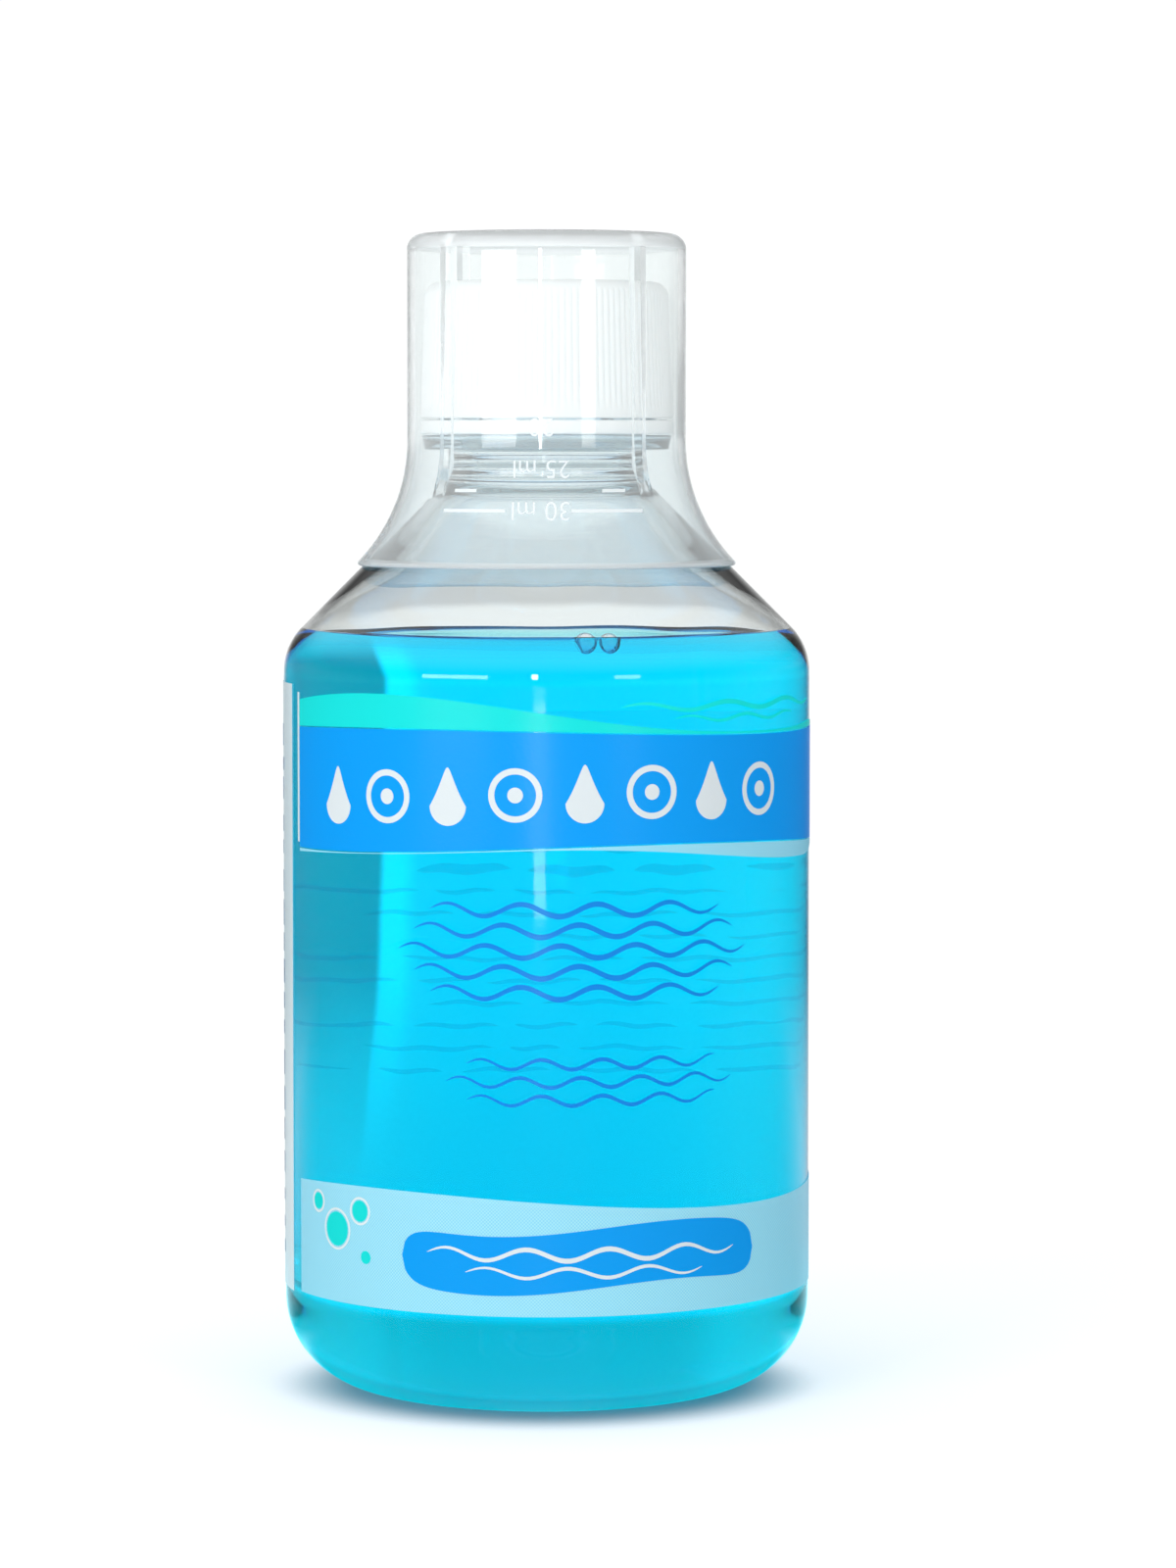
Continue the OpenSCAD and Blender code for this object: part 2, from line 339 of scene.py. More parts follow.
def grain(tree: Tree, size_mm: float, height_mm: float, detail: float = 2.0) -> Node:
    """Normal of a surface roughened by noise of a real size.

    Args:
        tree: the node tree.
        size_mm: size of one grain.
        height_mm: height of the grain.
        detail: how many finer layers the noise has.
    Returns:
        The node of the bumped normal.
    """
    where = add(tree, "TexCoord").outputs["Object"]
    noise = add(tree, "TexNoise", {"Vector": where, "Scale": 1 / (size_mm * MM), "Detail": detail, "Roughness": 0.55})
    return add(tree, "Bump", {"Strength": 1.0, "Distance": height_mm * MM, "Height": noise})


def let_lamps_through(tree: Tree, shader: Node, tint: str) -> Node:
    """A shader that lamps and diffuse light pass straight through, in a tint, so that what is behind it is lit.

    Args:
        tree: the node tree.
        shader: the shader that the eye sees.
        tint: sRGB hex of what one surface lets through.
    Returns:
        The mixed shader.
    """
    path = add(tree, "LightPath")
    open_way = add(tree, "BsdfTransparent", {"Color": linear(tint)})
    lit = add(tree, "MixShader", (path.outputs["Is Shadow Ray"], shader, open_way))
    return add(tree, "MixShader", (path.outputs["Is Diffuse Ray"], lit, open_way))


@dataclass(frozen=True)
class Finish:
    """A finish, named for the real material."""
    name: str

    def ends(self, tree: Tree) -> dict:
        """Adds the finish's nodes, and gives what the output takes."""
        raise NotImplementedError

    def material(self) -> Material:
        """The finish as a new material."""
        return new_material(self.name, self.ends)


@dataclass(frozen=True)
class ClearPlastic(Finish):
    """A clear moulded or blown plastic, with a colour that deepens with its thickness."""
    tint: str
    ior: float
    lamp_tint: str = "#FEFFFF"
    gloss: float = 1.0
    milk: float = 0.0
    roughness: float = 0.0
    depth_colour: str = "#FFFFFF"
    depth_density: float = 0.0
    wave_mm: float = 0.0
    wave_height_mm: float = 0.0

    def ends(self, tree: Tree) -> dict:
        """Glass with a share of milkiness, and absorption inside.

        Where liquid wets a wall, gloss is low, because light hardly turns back between the two.
        """
        inputs = {
            "Base Color": linear(self.tint), "Roughness": self.roughness, "IOR": self.ior,
            "Transmission Weight": 1 - self.milk, "Specular Tint": (self.gloss, self.gloss, self.gloss, 1),
        }
        if self.wave_mm:
            inputs["Normal"] = grain(tree, self.wave_mm, self.wave_height_mm, 1.0)
        ends = {"Surface": let_lamps_through(tree, add(tree, "BsdfPrincipled", inputs), self.lamp_tint)}
        if self.depth_density:
            depth = {"Color": linear(self.depth_colour), "Density": self.depth_density}
            ends["Volume"] = add(tree, "VolumeAbsorption", depth)
        return ends


@dataclass(frozen=True)
class FilmPlastic(Finish):
    """Clear polypropylene label film: it bends nothing, and only its gloss shows."""
    tint: str
    gloss: float
    edge_gloss: float
    roughness: float
    peel_mm: float
    peel_height_mm: float

    def ends(self, tree: Tree) -> dict:
        """Over a clear ground, gloss that grows as (1 - cos a)^5 towards the edges."""
        normal = grain(tree, self.peel_mm, self.peel_height_mm)
        clear = add(tree, "BsdfTransparent", {"Color": linear(self.tint)})
        gloss = add(tree, "BsdfGlossy", {"Color": linear("#FFFFFF"), "Roughness": self.roughness, "Normal": normal})
        facing = add(tree, "LayerWeight", {"Blend": 0.5, "Normal": normal}).outputs["Facing"]
        edge = add(tree, "Math", (facing, 5.0), operation="POWER")
        share = add(tree, "MapRange", {"Value": edge, "To Min": self.gloss, "To Max": self.edge_gloss})
        seen = add(tree, "MixShader", (share, clear, gloss))
        return {"Surface": let_lamps_through(tree, seen, self.tint)}


class Raster(Enum):
    """How an ink lies on the film."""
    SOLID = 0
    DOTS = 1


@dataclass(frozen=True)
class PrintInk(Finish):
    """Ink printed on the film and varnished: partly see-through, with a fine grain that catches the lamps."""
    colour: str
    cover: float
    roughness: float = 0.22
    grain_mm: float = 0.35
    grain_height_mm: float = 0.016
    glow: float = 0.0
    raster: Raster = Raster.SOLID
    dot_colour: str = "#FFFFFF"
    dot_mm: float = 0.55

    def dots(self, tree: Tree) -> Socket:
        """Colour of a halftone: dots where sin(s) * sin(z) is high, with s the way round the body.

        Args:
            tree: the node tree.
        Returns:
            The colour that runs between the ground and the dots.
        """
        x, y, z = add(tree, "SeparateXYZ", (add(tree, "TexCoord").outputs["Object"],)).outputs
        pace = FULL_TURN / (self.dot_mm * MM)
        across = add(tree, "Math", (add(tree, "Math", (y, x), **TURN_OF), LABEL_RADIUS * MM * pace), **TIMES)
        along = add(tree, "Math", (z, pace), **TIMES)
        waves = [add(tree, "Math", (way,), operation="SINE") for way in (across, along)]
        share = add(tree, "MapRange", (add(tree, "Math", tuple(waves), **TIMES), -0.3, 0.3))
        mixed = add(tree, "Mix", {0: share, 6: linear(self.colour), 7: linear(self.dot_colour)}, data_type="RGBA")
        return mixed.outputs[2]

    def ends(self, tree: Tree) -> dict:
        """Varnished pigment, part of it open to what is behind."""
        colour = self.dots(tree) if self.raster is Raster.DOTS else linear(self.colour)
        inputs = {
            "Base Color": colour, "Roughness": self.roughness, "IOR": 1.5,
            "Specular IOR Level": 0.5, "Normal": grain(tree, self.grain_mm, self.grain_height_mm),
        }
        seen = add(tree, "BsdfPrincipled", inputs)
        if self.glow:
            back_lit = add(tree, "BsdfTranslucent", {"Color": linear(self.colour)})
            seen = add(tree, "MixShader", (self.glow, seen, back_lit))
        open_film = add(tree, "BsdfTransparent", {"Color": linear("#FFFFFF")})
        return {"Surface": add(tree, "MixShader", (self.cover, open_film, seen))}


@dataclass(frozen=True)
class MouldedPlastic(Finish):
    """Opaque moulded plastic with a spark-eroded grain, a little light inside it and faint flow marks."""
    colour: str
    shade: str
    roughness: float
    grain_mm: float
    grain_height_mm: float
    light_depth_mm: float = 0.0
    flow_mm: float = 9.0

    def ends(self, tree: Tree) -> dict:
        """Two near tones by a soft noise, with grain and light depth."""
        where = add(tree, "TexCoord").outputs["Object"]
        noise = add(tree, "TexNoise", {"Vector": where, "Scale": 1 / (self.flow_mm * MM), "Detail": 2.0})
        tone = add(tree, "Mix", {0: noise, 6: linear(self.colour), 7: linear(self.shade)}, data_type="RGBA")
        inputs = {
            "Base Color": tone.outputs[2], "Roughness": self.roughness, "IOR": 1.49,
            "Normal": grain(tree, self.grain_mm, self.grain_height_mm),
        }
        if self.light_depth_mm:
            inputs |= {"Subsurface Weight": 0.35, "Subsurface Scale": self.light_depth_mm * MM,
                       "Subsurface Radius": (1.0, 0.9, 0.85)}
        return {"Surface": add(tree, "BsdfPrincipled", inputs)}


# Blown PET, polished by the mould: very clear, with a trace of a cold tint
PET = ClearPlastic("PET_blown_clear", "#FBFEFD", 1.575)
# The same wall where the liquid wets it or the film is glued to it
PET_WET = ClearPlastic("PET_blown_clear_wetted", "#FBFEFD", 1.575, gloss=0.1)
# The support ring, which shows the cold tint of its long way through the plastic
PET_RING = ClearPlastic("PET_blown_ring", "#D2E6EE", 1.575, roughness=0.12, milk=0.06)
# Coloured water with some glycerin: the red goes within a few millimetres, the green slowly, the blue hardly
MOUTHWASH = ClearPlastic("dyed_water_cyan", "#FFFFFF", 1.335, "#D5F2F6", gloss=0.2, depth_colour="#3FFBFF",
                         depth_density=180.0)
# The thin skin of the bubbles, which takes no colour
BUBBLE_SKIN = ClearPlastic("water_film", "#FFFFFF", 1.335)
# Random polypropylene, injection moulded: clear with a slight warm milkiness
CUP_PP = ClearPlastic("polypropylene_moulded_clear", "#F9FCFC", 1.49, milk=0.15, roughness=0.015,
                      wave_mm=9.0, wave_height_mm=0.02)
# The same plastic at the rim, the top's corner and the gripping ribs' sides, where the mould's steel is rougher; its
# added milkiness also paints the bright lines that reflections draw along these edges, as a painted highlight
CUP_EDGES_FROST_AND_SHEEN = ClearPlastic("polypropylene_edges_frost_and_painted_sheen", "#FAFDFE", 1.49, milk=0.30, roughness=0.15,
                         wave_mm=0.5, wave_height_mm=0.006)
# The same plastic where the mould is frosted, so that the graduations show
CUP_MARKS = ClearPlastic("polypropylene_frosted_marks", "#F4F8FA", 1.49, milk=0.55, roughness=0.35,
                         wave_mm=0.4, wave_height_mm=0.01)
# White polypropylene, spark-eroded mould: satin, with light held a little way in
CAP_PP = MouldedPlastic("polypropylene_moulded_white", "#F9FBFC", "#F4F7F9", 0.34, 0.25, 0.004, 0.8)
# Expanded polyethylene foam: matt, with small cells at its skin
FOAM = MouldedPlastic("polyethylene_foam_skin", "#E9E8E0", "#DEDCD2", 0.75, 0.4, 0.05)
# Oriented polypropylene film, pressed on: glossy, with a faint orange peel
FILM = FilmPlastic("polypropylene_film_clear", "#FBFDFE", 0.008, 0.12, 0.06, 1.6, 0.004)
# Flexographic inks under a clear varnish: thin ones let the liquid show, and the full ones glow when lit from behind
DEEP_BLUE_INK = PrintInk("ink_deep_blue", "#00B0FF", 0.92, glow=0.25)
BLUE_LINE_INK = PrintInk("ink_blue_lines", "#0E86E4", 0.8)
FAINT_LINE_INK = PrintInk("ink_faint_back_lines", "#3FA8E6", 0.1)
STROKE_INK = PrintInk("ink_grey_blue_strokes", "#8FA9C4", 0.8)
MINT_INK = PrintInk("ink_mint", "#18F4EE", 0.9, glow=0.3)
WHITE_INK = PrintInk("ink_opaque_white", "#F3FAFB", 1.0, glow=0.3)
SILVER_INK = PrintInk("ink_silver_halftone", "#9CE6FC", 0.88, roughness=0.24, glow=0.25, raster=Raster.DOTS,
                      dot_colour="#C4FCFF", dot_mm=0.42)
PALE_BACK_INK = PrintInk("ink_pale_back_panel", "#F2FBFF", 0.08, glow=0.7, roughness=0.4)


# ---- the object ----

@dataclass
class BlownBottle:
    """The blown bottle and its liquid. Lengths are millimetres, angles degrees, as in the part's source."""
    body_r: float = 33.0
    shoulder_z: float = 93.3
    shoulder_angle: float = 45.0
    shoulder_r: float = 7.6
    heel_r: float = 11.5
    wall: float = 0.7
    # How much thicker the shoulder's wall is, from where, over what height, and up to where
    extra: tuple[float, ...] = (1.4, 97.0, 12.0, 115.0)
    swells: Rows = ((116.3, 0.5, 0.7), (114.5, 0.5, 0.6), (112.5, 0.6, 0.8))
    wander_h: float = 0.02
    # Where the wandering sets in and fades out: a height and the stretch over which it does
    wander_ends: tuple[Pair, Pair] = ((15.0, 20.0), (112.0, 8.0))
    waves: Rows = ((1.0, 3, 11, 0.7), (0.7, 7, -6, 2.1), (0.5, 12, 4, 4.0))
    gate_h: float = 0.7
    gate_r: float = 1.9
    gate_side: float = 0.6
    punt_h: float = 4.5
    foot_w: float = 2.0
    foot_r: float = 2.5
    neck_r: float = 12.45
    bore_r: float = 10.85
    bore_end: float = 118.0
    neck_fillet_r: float = 1.5
    throat_r: float = 2.5
    throat_end: float = 16.2
    # The longest stretches between rows of points
    skin_step: float = 3.6
    finish_step: float = 0.55
    bore_step: float = 3.0
    throat_step: float = 0.36
    inside_step: float = 3.2
    liquid_step: float = 3.0
    ring_z: float = 117.75
    ring_t: float = 1.8
    ring_r: float = 15.65
    ring_draft: float = 0.3
    ring_round: float = 0.3
    bead_z: float = 120.64
    bead_h: float = 0.8
    bead_r: float = 13.9
    bead_rounds: Pair = (0.15, 0.3)
    lip_r: float = 0.4
    finish_z: float = 136.25
    thread_h: float = 1.15
    thread_root: float = 2.4
    fill_z: float = 93.6
    wet_overlap: float = 0.09
    wet_rise: float = 0.4
    meniscus_h: float = 1.5
    meniscus_l: float = 1.9
    bubble_spots: Rows = ((4.6, -29.1, 94.25, 1.34), (7.4, -28.5, 94.2, 1.3))
    # Closer columns where the bubbles press into the surface: their number, first angle and spread
    close: tuple[int, float, float] = (96, -82.0, 22.0)
    surface_rows: int = 59
    bubble_play: float = 0.03
    bubble_skin: float = 0.05

    def shoulder_height(self, r: float, depth: float) -> float:
        """Height of the shoulder's line over a radius, at a depth below its skin."""
        a = math.radians(self.shoulder_angle)
        k = self.body_r * math.sin(a) + self.shoulder_z * math.cos(a)
        return (k - depth - r * math.sin(a)) / math.cos(a)

    def skin(self, depth: float, corner_end: float = 45.0) -> Array:
        """Line of the bottle's skin from the middle of the base to the shoulder's corner, as four arcs.

        Args:
            depth: how far below the skin the line runs.
            corner_end: angle at which the shoulder's corner is left.
        Returns:
            Its points.
        """
        foot_out = self.body_r - self.heel_r
        foot_in = foot_out - self.foot_w
        punt_r = (foot_in ** 2 + self.punt_h ** 2) / (2 * self.punt_h) - self.foot_r
        punt_a = math.degrees(math.atan2(punt_r + self.foot_r - self.punt_h, foot_in))
        half = math.radians(90 - self.shoulder_angle) / 2
        corner = (self.body_r - self.shoulder_r, self.shoulder_z - self.shoulder_r * math.tan(half))
        return np.concatenate([
            arc((0, self.punt_h - punt_r), punt_r + depth, 90, punt_a, 16),
            arc((foot_in, self.foot_r), self.foot_r - depth, punt_a + 180, 270, 8),
            arc((foot_out, self.heel_r), self.heel_r - depth, 270, 360, 28),
            arc(corner, self.shoulder_r - depth, 0, corner_end, 22),
        ])

    def throat(self, r: float, fillet: float, depth: float) -> Array:
        """Concave round from the shoulder's line into an upright wall of radius r."""
        centre = (r + fillet, self.shoulder_height(r + fillet, depth - fillet))
        return arc(centre, fillet, 270 - self.shoulder_angle, 180, 8)

    def finish_line(self) -> Array:
        """Support ring with small rounds, the bead, the straight finish and the lip, in to the bore."""
        top, e, (low, high) = self.ring_z + self.ring_t, self.ring_round, self.bead_rounds
        return np.concatenate([
            [(self.neck_r, self.ring_z - e)], arc((self.neck_r + e, self.ring_z - e), e, 180, 90, 4),
            arc((self.ring_r - self.ring_draft - e, self.ring_z + e), e, 270, 350, 5),
            arc((self.ring_r - e, top - e), e, 10, 90, 5),
            [(self.neck_r, top), (self.neck_r, self.bead_z)],
            arc((self.bead_r - low, self.bead_z + low), low, 270, 360, 3),
            arc((self.bead_r - high, self.bead_z + self.bead_h - high), high, 0, 45, 3),
            [(self.neck_r, self.bead_z + self.bead_h + self.bead_r - self.neck_r)],
            arc((self.neck_r - self.lip_r, self.finish_z - self.lip_r), self.lip_r, 0, 90, 6),
            arc((self.bore_r + self.lip_r, self.finish_z - self.lip_r), self.lip_r, 90, 180, 6),
        ])

    def shell(self) -> Surface:
        """The bottle: its closed profile turned about the axis.

        The finish carries the thread's ridge, the middle of the base has the stub of the preform's gate, and
        the inside wall is as a blown wall is: it wanders by a sum of waves h * sin(n a + z / l + p), is thicker
        on the shoulder, where the preform is stretched less, and has swells under the neck, which are
        h * exp(-((z - c) / w)^2).

        Returns:
            The closed surface.
        """
        body = np.concatenate([self.skin(0), self.throat(self.neck_r, self.neck_fillet_r, 0)])
        throat = self.throat(self.bore_r, self.throat_r, self.wall)[::-1]
        outer = np.concatenate([finely(body, self.skin_step), finely(self.finish_line(), self.finish_step)])
        upper = finely(np.concatenate([outer[-1:], [(self.bore_r, self.bore_end)]]), self.bore_step)[1:]
        below = [(self.throat_end, self.shoulder_height(self.throat_end, self.wall))]
        middle = finely(np.concatenate([upper[-1:], throat, below]), self.throat_step)[1:]
        inner = finely(np.concatenate([middle[-1:], self.skin(self.wall)[::-1]]), self.inside_step)[1:]
        line = np.concatenate([outer, upper, middle, inner])
        angles, z = full_circle(), line[:, 1:]
        is_outer = (np.arange(len(line)) < len(outer))[:, None]
        on_finish = is_outer & (np.abs(line[:, :1] - self.neck_r) < 0.01) & (z > self.bead_z + 2)
        ridge = thread_ridge(angles, z, THREAD_MIDDLE, self.thread_h, self.thread_root) * on_finish
        (low, rise), (high, fall) = self.wander_ends
        free = smooth_step((z - low) / rise) * smooth_step((high - z) / fall) * ~is_outer
        wander = self.wander_h * sum(share * np.sin(count * angles + z / length + start)
                                     for share, count, length, start in self.waves)
        height, low, over, high = self.extra
        thick = height * smooth_step((z - low) / over) * (z < high) * ~is_outer
        thick = np.minimum(thick, np.maximum(line[:, :1] - self.bore_r, 0))
        swells = sum(swell * np.exp(-((z - level) / width) ** 2) for level, swell, width in self.swells)
        thick = thick + ~is_outer * swells
        stub = smooth_step((self.gate_r - line[:, :1]) / self.gate_side)
        gate = -self.gate_h * stub * is_outer * (z < self.heel_r)
        return revolve(line, angles, outward=ridge + wander * free - thick, upward=gate)

    def is_wet(self, middles: Array) -> Array:
        """Tells which faces are the inside wall under the liquid's level or lie under the glued film."""
        outside = self.skin(0)
        foot = int(np.argmin(outside[:, 1]))
        r, z = np.hypot(middles[:, 0], middles[:, 1]), middles[:, 2]
        side = r < np.interp(z, outside[foot:, 1], outside[foot:, 0]) - self.wall / 2
        floor = z > np.interp(r, outside[:foot, 0], outside[:foot, 1]) + self.wall / 2
        glued = (r > self.body_r - self.wall / 2) & (z > LABEL_LOW) & (z < LABEL_HIGH)
        return glued | (side & floor & (z < self.fill_z + self.wet_rise))

    def is_ring(self, middles: Array) -> Array:
        """Tells which faces are the support ring, from their middles."""
        r, z = np.hypot(middles[:, 0], middles[:, 1]), middles[:, 2]
        return (r > self.neck_r + 0.2) & (z > self.ring_z - 0.1) & (z < self.ring_z + self.ring_t + 0.1)

    def liquid(self) -> Surface:
        """The liquid: it wets the wall, and its surface climbs the wall in a meniscus.

        Its skin lies a little inside the plastic. The surface is fill_z + h * exp(-(R - r) / l), with R the
        radius at the wall. Each bubble presses a round hollow into it: z0 - sqrt(radius^2 - distance^2).

        Returns:
            The closed surface.
        """
        depth = self.wall - self.wet_overlap
        corner_z = self.shoulder_z - self.shoulder_r * math.tan(math.radians(90 - self.shoulder_angle) / 2)
        end = math.degrees(math.asin((self.fill_z + self.meniscus_h - corner_z) / (self.shoulder_r - depth)))
        wet = self.skin(depth, end)
        r = wet[-1, 0] * (1 - np.linspace(0, 1, self.surface_rows + 1)[1:] ** 2.2)
        level = self.fill_z + self.meniscus_h * np.exp(-(wet[-1, 0] - r) / self.meniscus_l)
        side = finely(wet, self.liquid_step)
        line = np.concatenate([side, np.column_stack([r, level])])
        count, first, spread = self.close
        close = math.radians(first) + np.arange(count) * math.radians(spread) / count + FULL_TURN
        even = full_circle()
        angles = np.sort(np.concatenate([even[(even < close[0] - 0.01) | (even > close[-1] + 0.01)], close]))
        x, y = line[:, :1] * np.cos(angles), line[:, :1] * np.sin(angles)
        sunk = np.zeros_like(x)
        for x0, y0, z0, radius in self.bubble_spots:
            apart = (x - x0) ** 2 + (y - y0) ** 2
            reach = (radius + self.bubble_play) ** 2
            bottom = z0 - np.sqrt(np.clip(reach - apart, 0, None))
            sunk = np.where(apart < reach, np.minimum(sunk, bottom - line[:, 1:]), sunk)
        on_surface = (np.arange(len(line)) > len(side) + 1)[:, None]
        return revolve(line, angles, upward=sunk * on_surface)

    def bubbles(self) -> Surface:
        """Two bubbles at the front of the liquid's surface, as thin closed skins: a sphere in a sphere."""
        parts = []
        for x, y, z, radius in self.bubble_spots:
            for size, inside in ((radius, False), (radius - self.bubble_skin, True)):
                ball = revolve(arc((0, 0), size, -90, 90, 20), full_circle(40))
                faces = [face[:, ::-1] for face in ball.faces] if inside else ball.faces
                parts.append(Surface(ball.points + [x, y, z], faces))
        return Surface.joined(parts)

    def build(self) -> None:
        """Makes the bottle, the liquid and its bubbles."""
        on, slot = "bottle_body", "blue_liquid"
        others = ((PET_WET.material(), self.is_wet), (PET_RING.material(), self.is_ring))
        self.shell().piece("clear_bottle", on, "clear_bottle_plastic", PET.material(), ("bottle",), others=others)
        self.liquid().piece("blue_liquid", on, slot, MOUTHWASH.material(), ("mouthwash_liquid",), 60)
        self.bubbles().piece("surface_bubbles", on, slot, BUBBLE_SKIN.material())


@dataclass
class PrintedLabel:
    """The wrap label: a clear film, and inks on it in layers, with motifs of water."""
    left: float = -39.7
    right: float = 166.2
    wave_l: float = 104.0
    film: Pair = (33.03, 33.06)
    back_ink: Pair = (33.0625, 33.0675)
    first_ink: Pair = (33.07, 33.10)
    second_ink: Pair = (33.11, 33.14)
    third_ink: Pair = (33.141, 33.148)
    front_end: float = 61.0
    inset: float = 0.9
    silver_low: float = 13.4
    # Long waves: middle, swing and place of the crest
    blue_low: Wave = (69.6, 0.8, 14)
    blue_high: Wave = (83.6, 0.5, -14)
    mint_low: Wave = (83.75, 0.5, -14)
    mint_swell: Wave = (0.5, 0.5, -24)
    motif_line: Wave = (76.2, 0.5, 14)
    silver_high: Wave = (26.9, 1.2, -22)
    under_blue: Wave = (69.45, 0.8, 14)
    under_swell: Wave = (0.5, 0.5, 36)
    back_high: Wave = (82.5, 1.6, 96)
    # The banner's ends, middle height, half height and rise
    banner: tuple[float, ...] = (-18.5, 28.5, 20.3, 3.55, 0.8)
    # Bubbles: place, height, radius and the rim's radius
    bubble_spots: Rows = (
        (-29.5, 22.4, 2.1, 2.45), (-25.2, 25.0, 1.3, 1.6), (-33.6, 25.4, 1.0, 1.3), (-24.2, 19.4, 0.8))
    # The ring's radius and width and its dot's radius; how low the drop's middle lies, its radius and its tip
    target: tuple[float, ...] = (2.9, 0.75, 0.95)
    drop: tuple[float, ...] = (1.2, 2.35, 1.0)
    # Ripples: ends, height, swing, wave length and width
    mint_ripples: Rows = ((9, 45, 86.9, 0.45, 12, 0.55), (16, 38, 85.4, 0.35, 9, 0.35))
    white_ripples: Rows = ((-15, 25, 20.9, 0.7, 10, 0.55), (-10, 20, 18.7, 0.6, 10, 0.4))
    # Sets of ripples: how many, how much shorter the outer ones are, ends, top, pitch, then swing, length and width
    line_sets: Rows = (
        (5, 2.2, -19, 27, 62.6, 2.5, 0.75, 9.2, 0.62), (3, 2.6, -12.5, 24.5, 44.0, 2.2, 0.6, 7.4, 0.45))
    # Rows of faint ripples: how many, top and pitch
    back_rows: tuple[int, float, float] = (11, 66.5, 2.9)
    strip_left: float = 155.0

    def wave(self, s: Array, wave: Wave) -> Array:
        """A long wave round the body: middle + swing * cos(2 pi (s - crest) / length)."""
        middle, swing, crest = wave
        return middle + swing * np.cos(FULL_TURN * (s - crest) / self.wave_l)

    def rounded_end(self, s: Array, length: float) -> Array:
        """One, and from length before the front's end it falls to zero as a quarter of an ellipse does."""
        return np.sqrt(1 - np.clip((s - self.front_end) / length + 1, 0, 0.9995) ** 2)

    def between(self, lower: Array | float, upper: Array | float, s: Array, layer: Pair, rows: int) -> Surface:
        """A patch of ink between two curves: z = lower + (upper - lower) * t.

        Args:
            lower: its lower edge over s.
            upper: its upper edge over s.
            s: places of its columns round the body.
            layer: radii of its back and face.
            rows: how many rows of points it has.
        Returns:
            The patch as a thin shell.
        """
        t = np.linspace(0, 1, rows)[:, None]
        return shell_on_cylinder(np.broadcast_to(s, (rows, len(s))), lower + (upper - lower) * t, *layer)

    def ripple(self, start: float, end: float, z: float, swing: float, length: float, width: float,
               layer: Pair) -> Surface:
        """A thin wavy line: z + swing * sin(2 pi s / length), whose width tapers to its ends as an ellipse does."""
        s = np.linspace(start, end, max(12, int((end - start) / 0.6)))
        t = np.linspace(-1, 1, len(s))
        middle = z + swing * np.sin(FULL_TURN * (s - start) / length)
        half = width / 2 * np.sqrt(np.clip(1 - t ** 2, 0, 1)) + 0.03
        return self.between(middle - half, middle + half, s, layer, 2)

    def disc(self, s: float, z: float, radius: float, layer: Pair, tip: float = 0.0) -> Surface:
        """A disc, or a drop where tip is above zero: a square grid pressed onto a round.

        (u, v) goes to (u sqrt(1 - v^2 / 2), v sqrt(1 - u^2 / 2)). The upper half is drawn out by the tip and
        narrowed by the same share, which gives a drop's point.
        """
        u, v = np.meshgrid(np.linspace(-1, 1, 13), np.linspace(-1, 1, 13))
        x, y = u * np.sqrt(1 - v ** 2 / 2), v * np.sqrt(1 - u ** 2 / 2)
        up = np.clip(y, 0, 1)
        x, y = x * (1 - up * min(tip, 1) * 0.62), y + up ** 2 * tip
        return shell_on_cylinder(s + radius * x, z + radius * y, *layer)

    def ring(self, s: float, z: float, radius: float, width: float, layer: Pair) -> Surface:
        """A ring: points at radius +- width / 2 round its centre."""
        a = full_circle(40)[None, :]
        size = radius + np.array([0.5, -0.5])[:, None] * width
        return shell_on_cylinder(s + size * np.cos(a), z + size * np.sin(a), *layer, around=True)

    def film_sheet(self) -> Iterator[Surface]:
        """The film itself, from its left end right round to its other end."""
        yield self.between(LABEL_LOW, LABEL_HIGH, np.linspace(self.left, self.right, 300), self.film, 8)

    def blue_band(self) -> Iterator[Surface]:
        """The deep blue band with wavy edges and a rounded end, and the banner in the silver band."""
        s = np.linspace(self.left + self.inset, self.front_end, 260)
        low, high = self.wave(s, self.blue_low), self.wave(s, self.blue_high)
        middle, half = (low + high) / 2, (high - low) / 2 * self.rounded_end(s, 7)
        yield self.between(middle - half, middle + half, s, self.first_ink, 8)
        start, end, level, size, rise = self.banner
        s = np.linspace(start, end, 120)
        t = (s - (start + end) / 2) / ((end - start) / 2)
        middle, half = level + rise * np.sin(math.pi * t), size * np.sqrt(np.clip(1 - t ** 14, 0, 1)) + 0.03
        yield self.between(middle - half, middle + half, s, self.second_ink, 5)

    def mint(self) -> Iterator[Surface]:
        """Mint waves over the blue band, a thin mint ripple at the upper right, and mint bubbles."""
        end = self.front_end - 7.5
        s = np.linspace(self.left + self.inset, end, 240)
        low = self.wave(s, self.mint_low)
        rise = 0.25 + 3.9 * self.wave(s, self.mint_swell) ** 1.3 * smooth_step((end - s) / 10)
        yield self.between(low, low + rise, s, self.first_ink, 5)
        for line in self.mint_ripples:
            yield self.ripple(*line, self.first_ink)
        for s0, z0, r0, *_ in self.bubble_spots:
            yield self.disc(s0, z0, r0, self.second_ink)

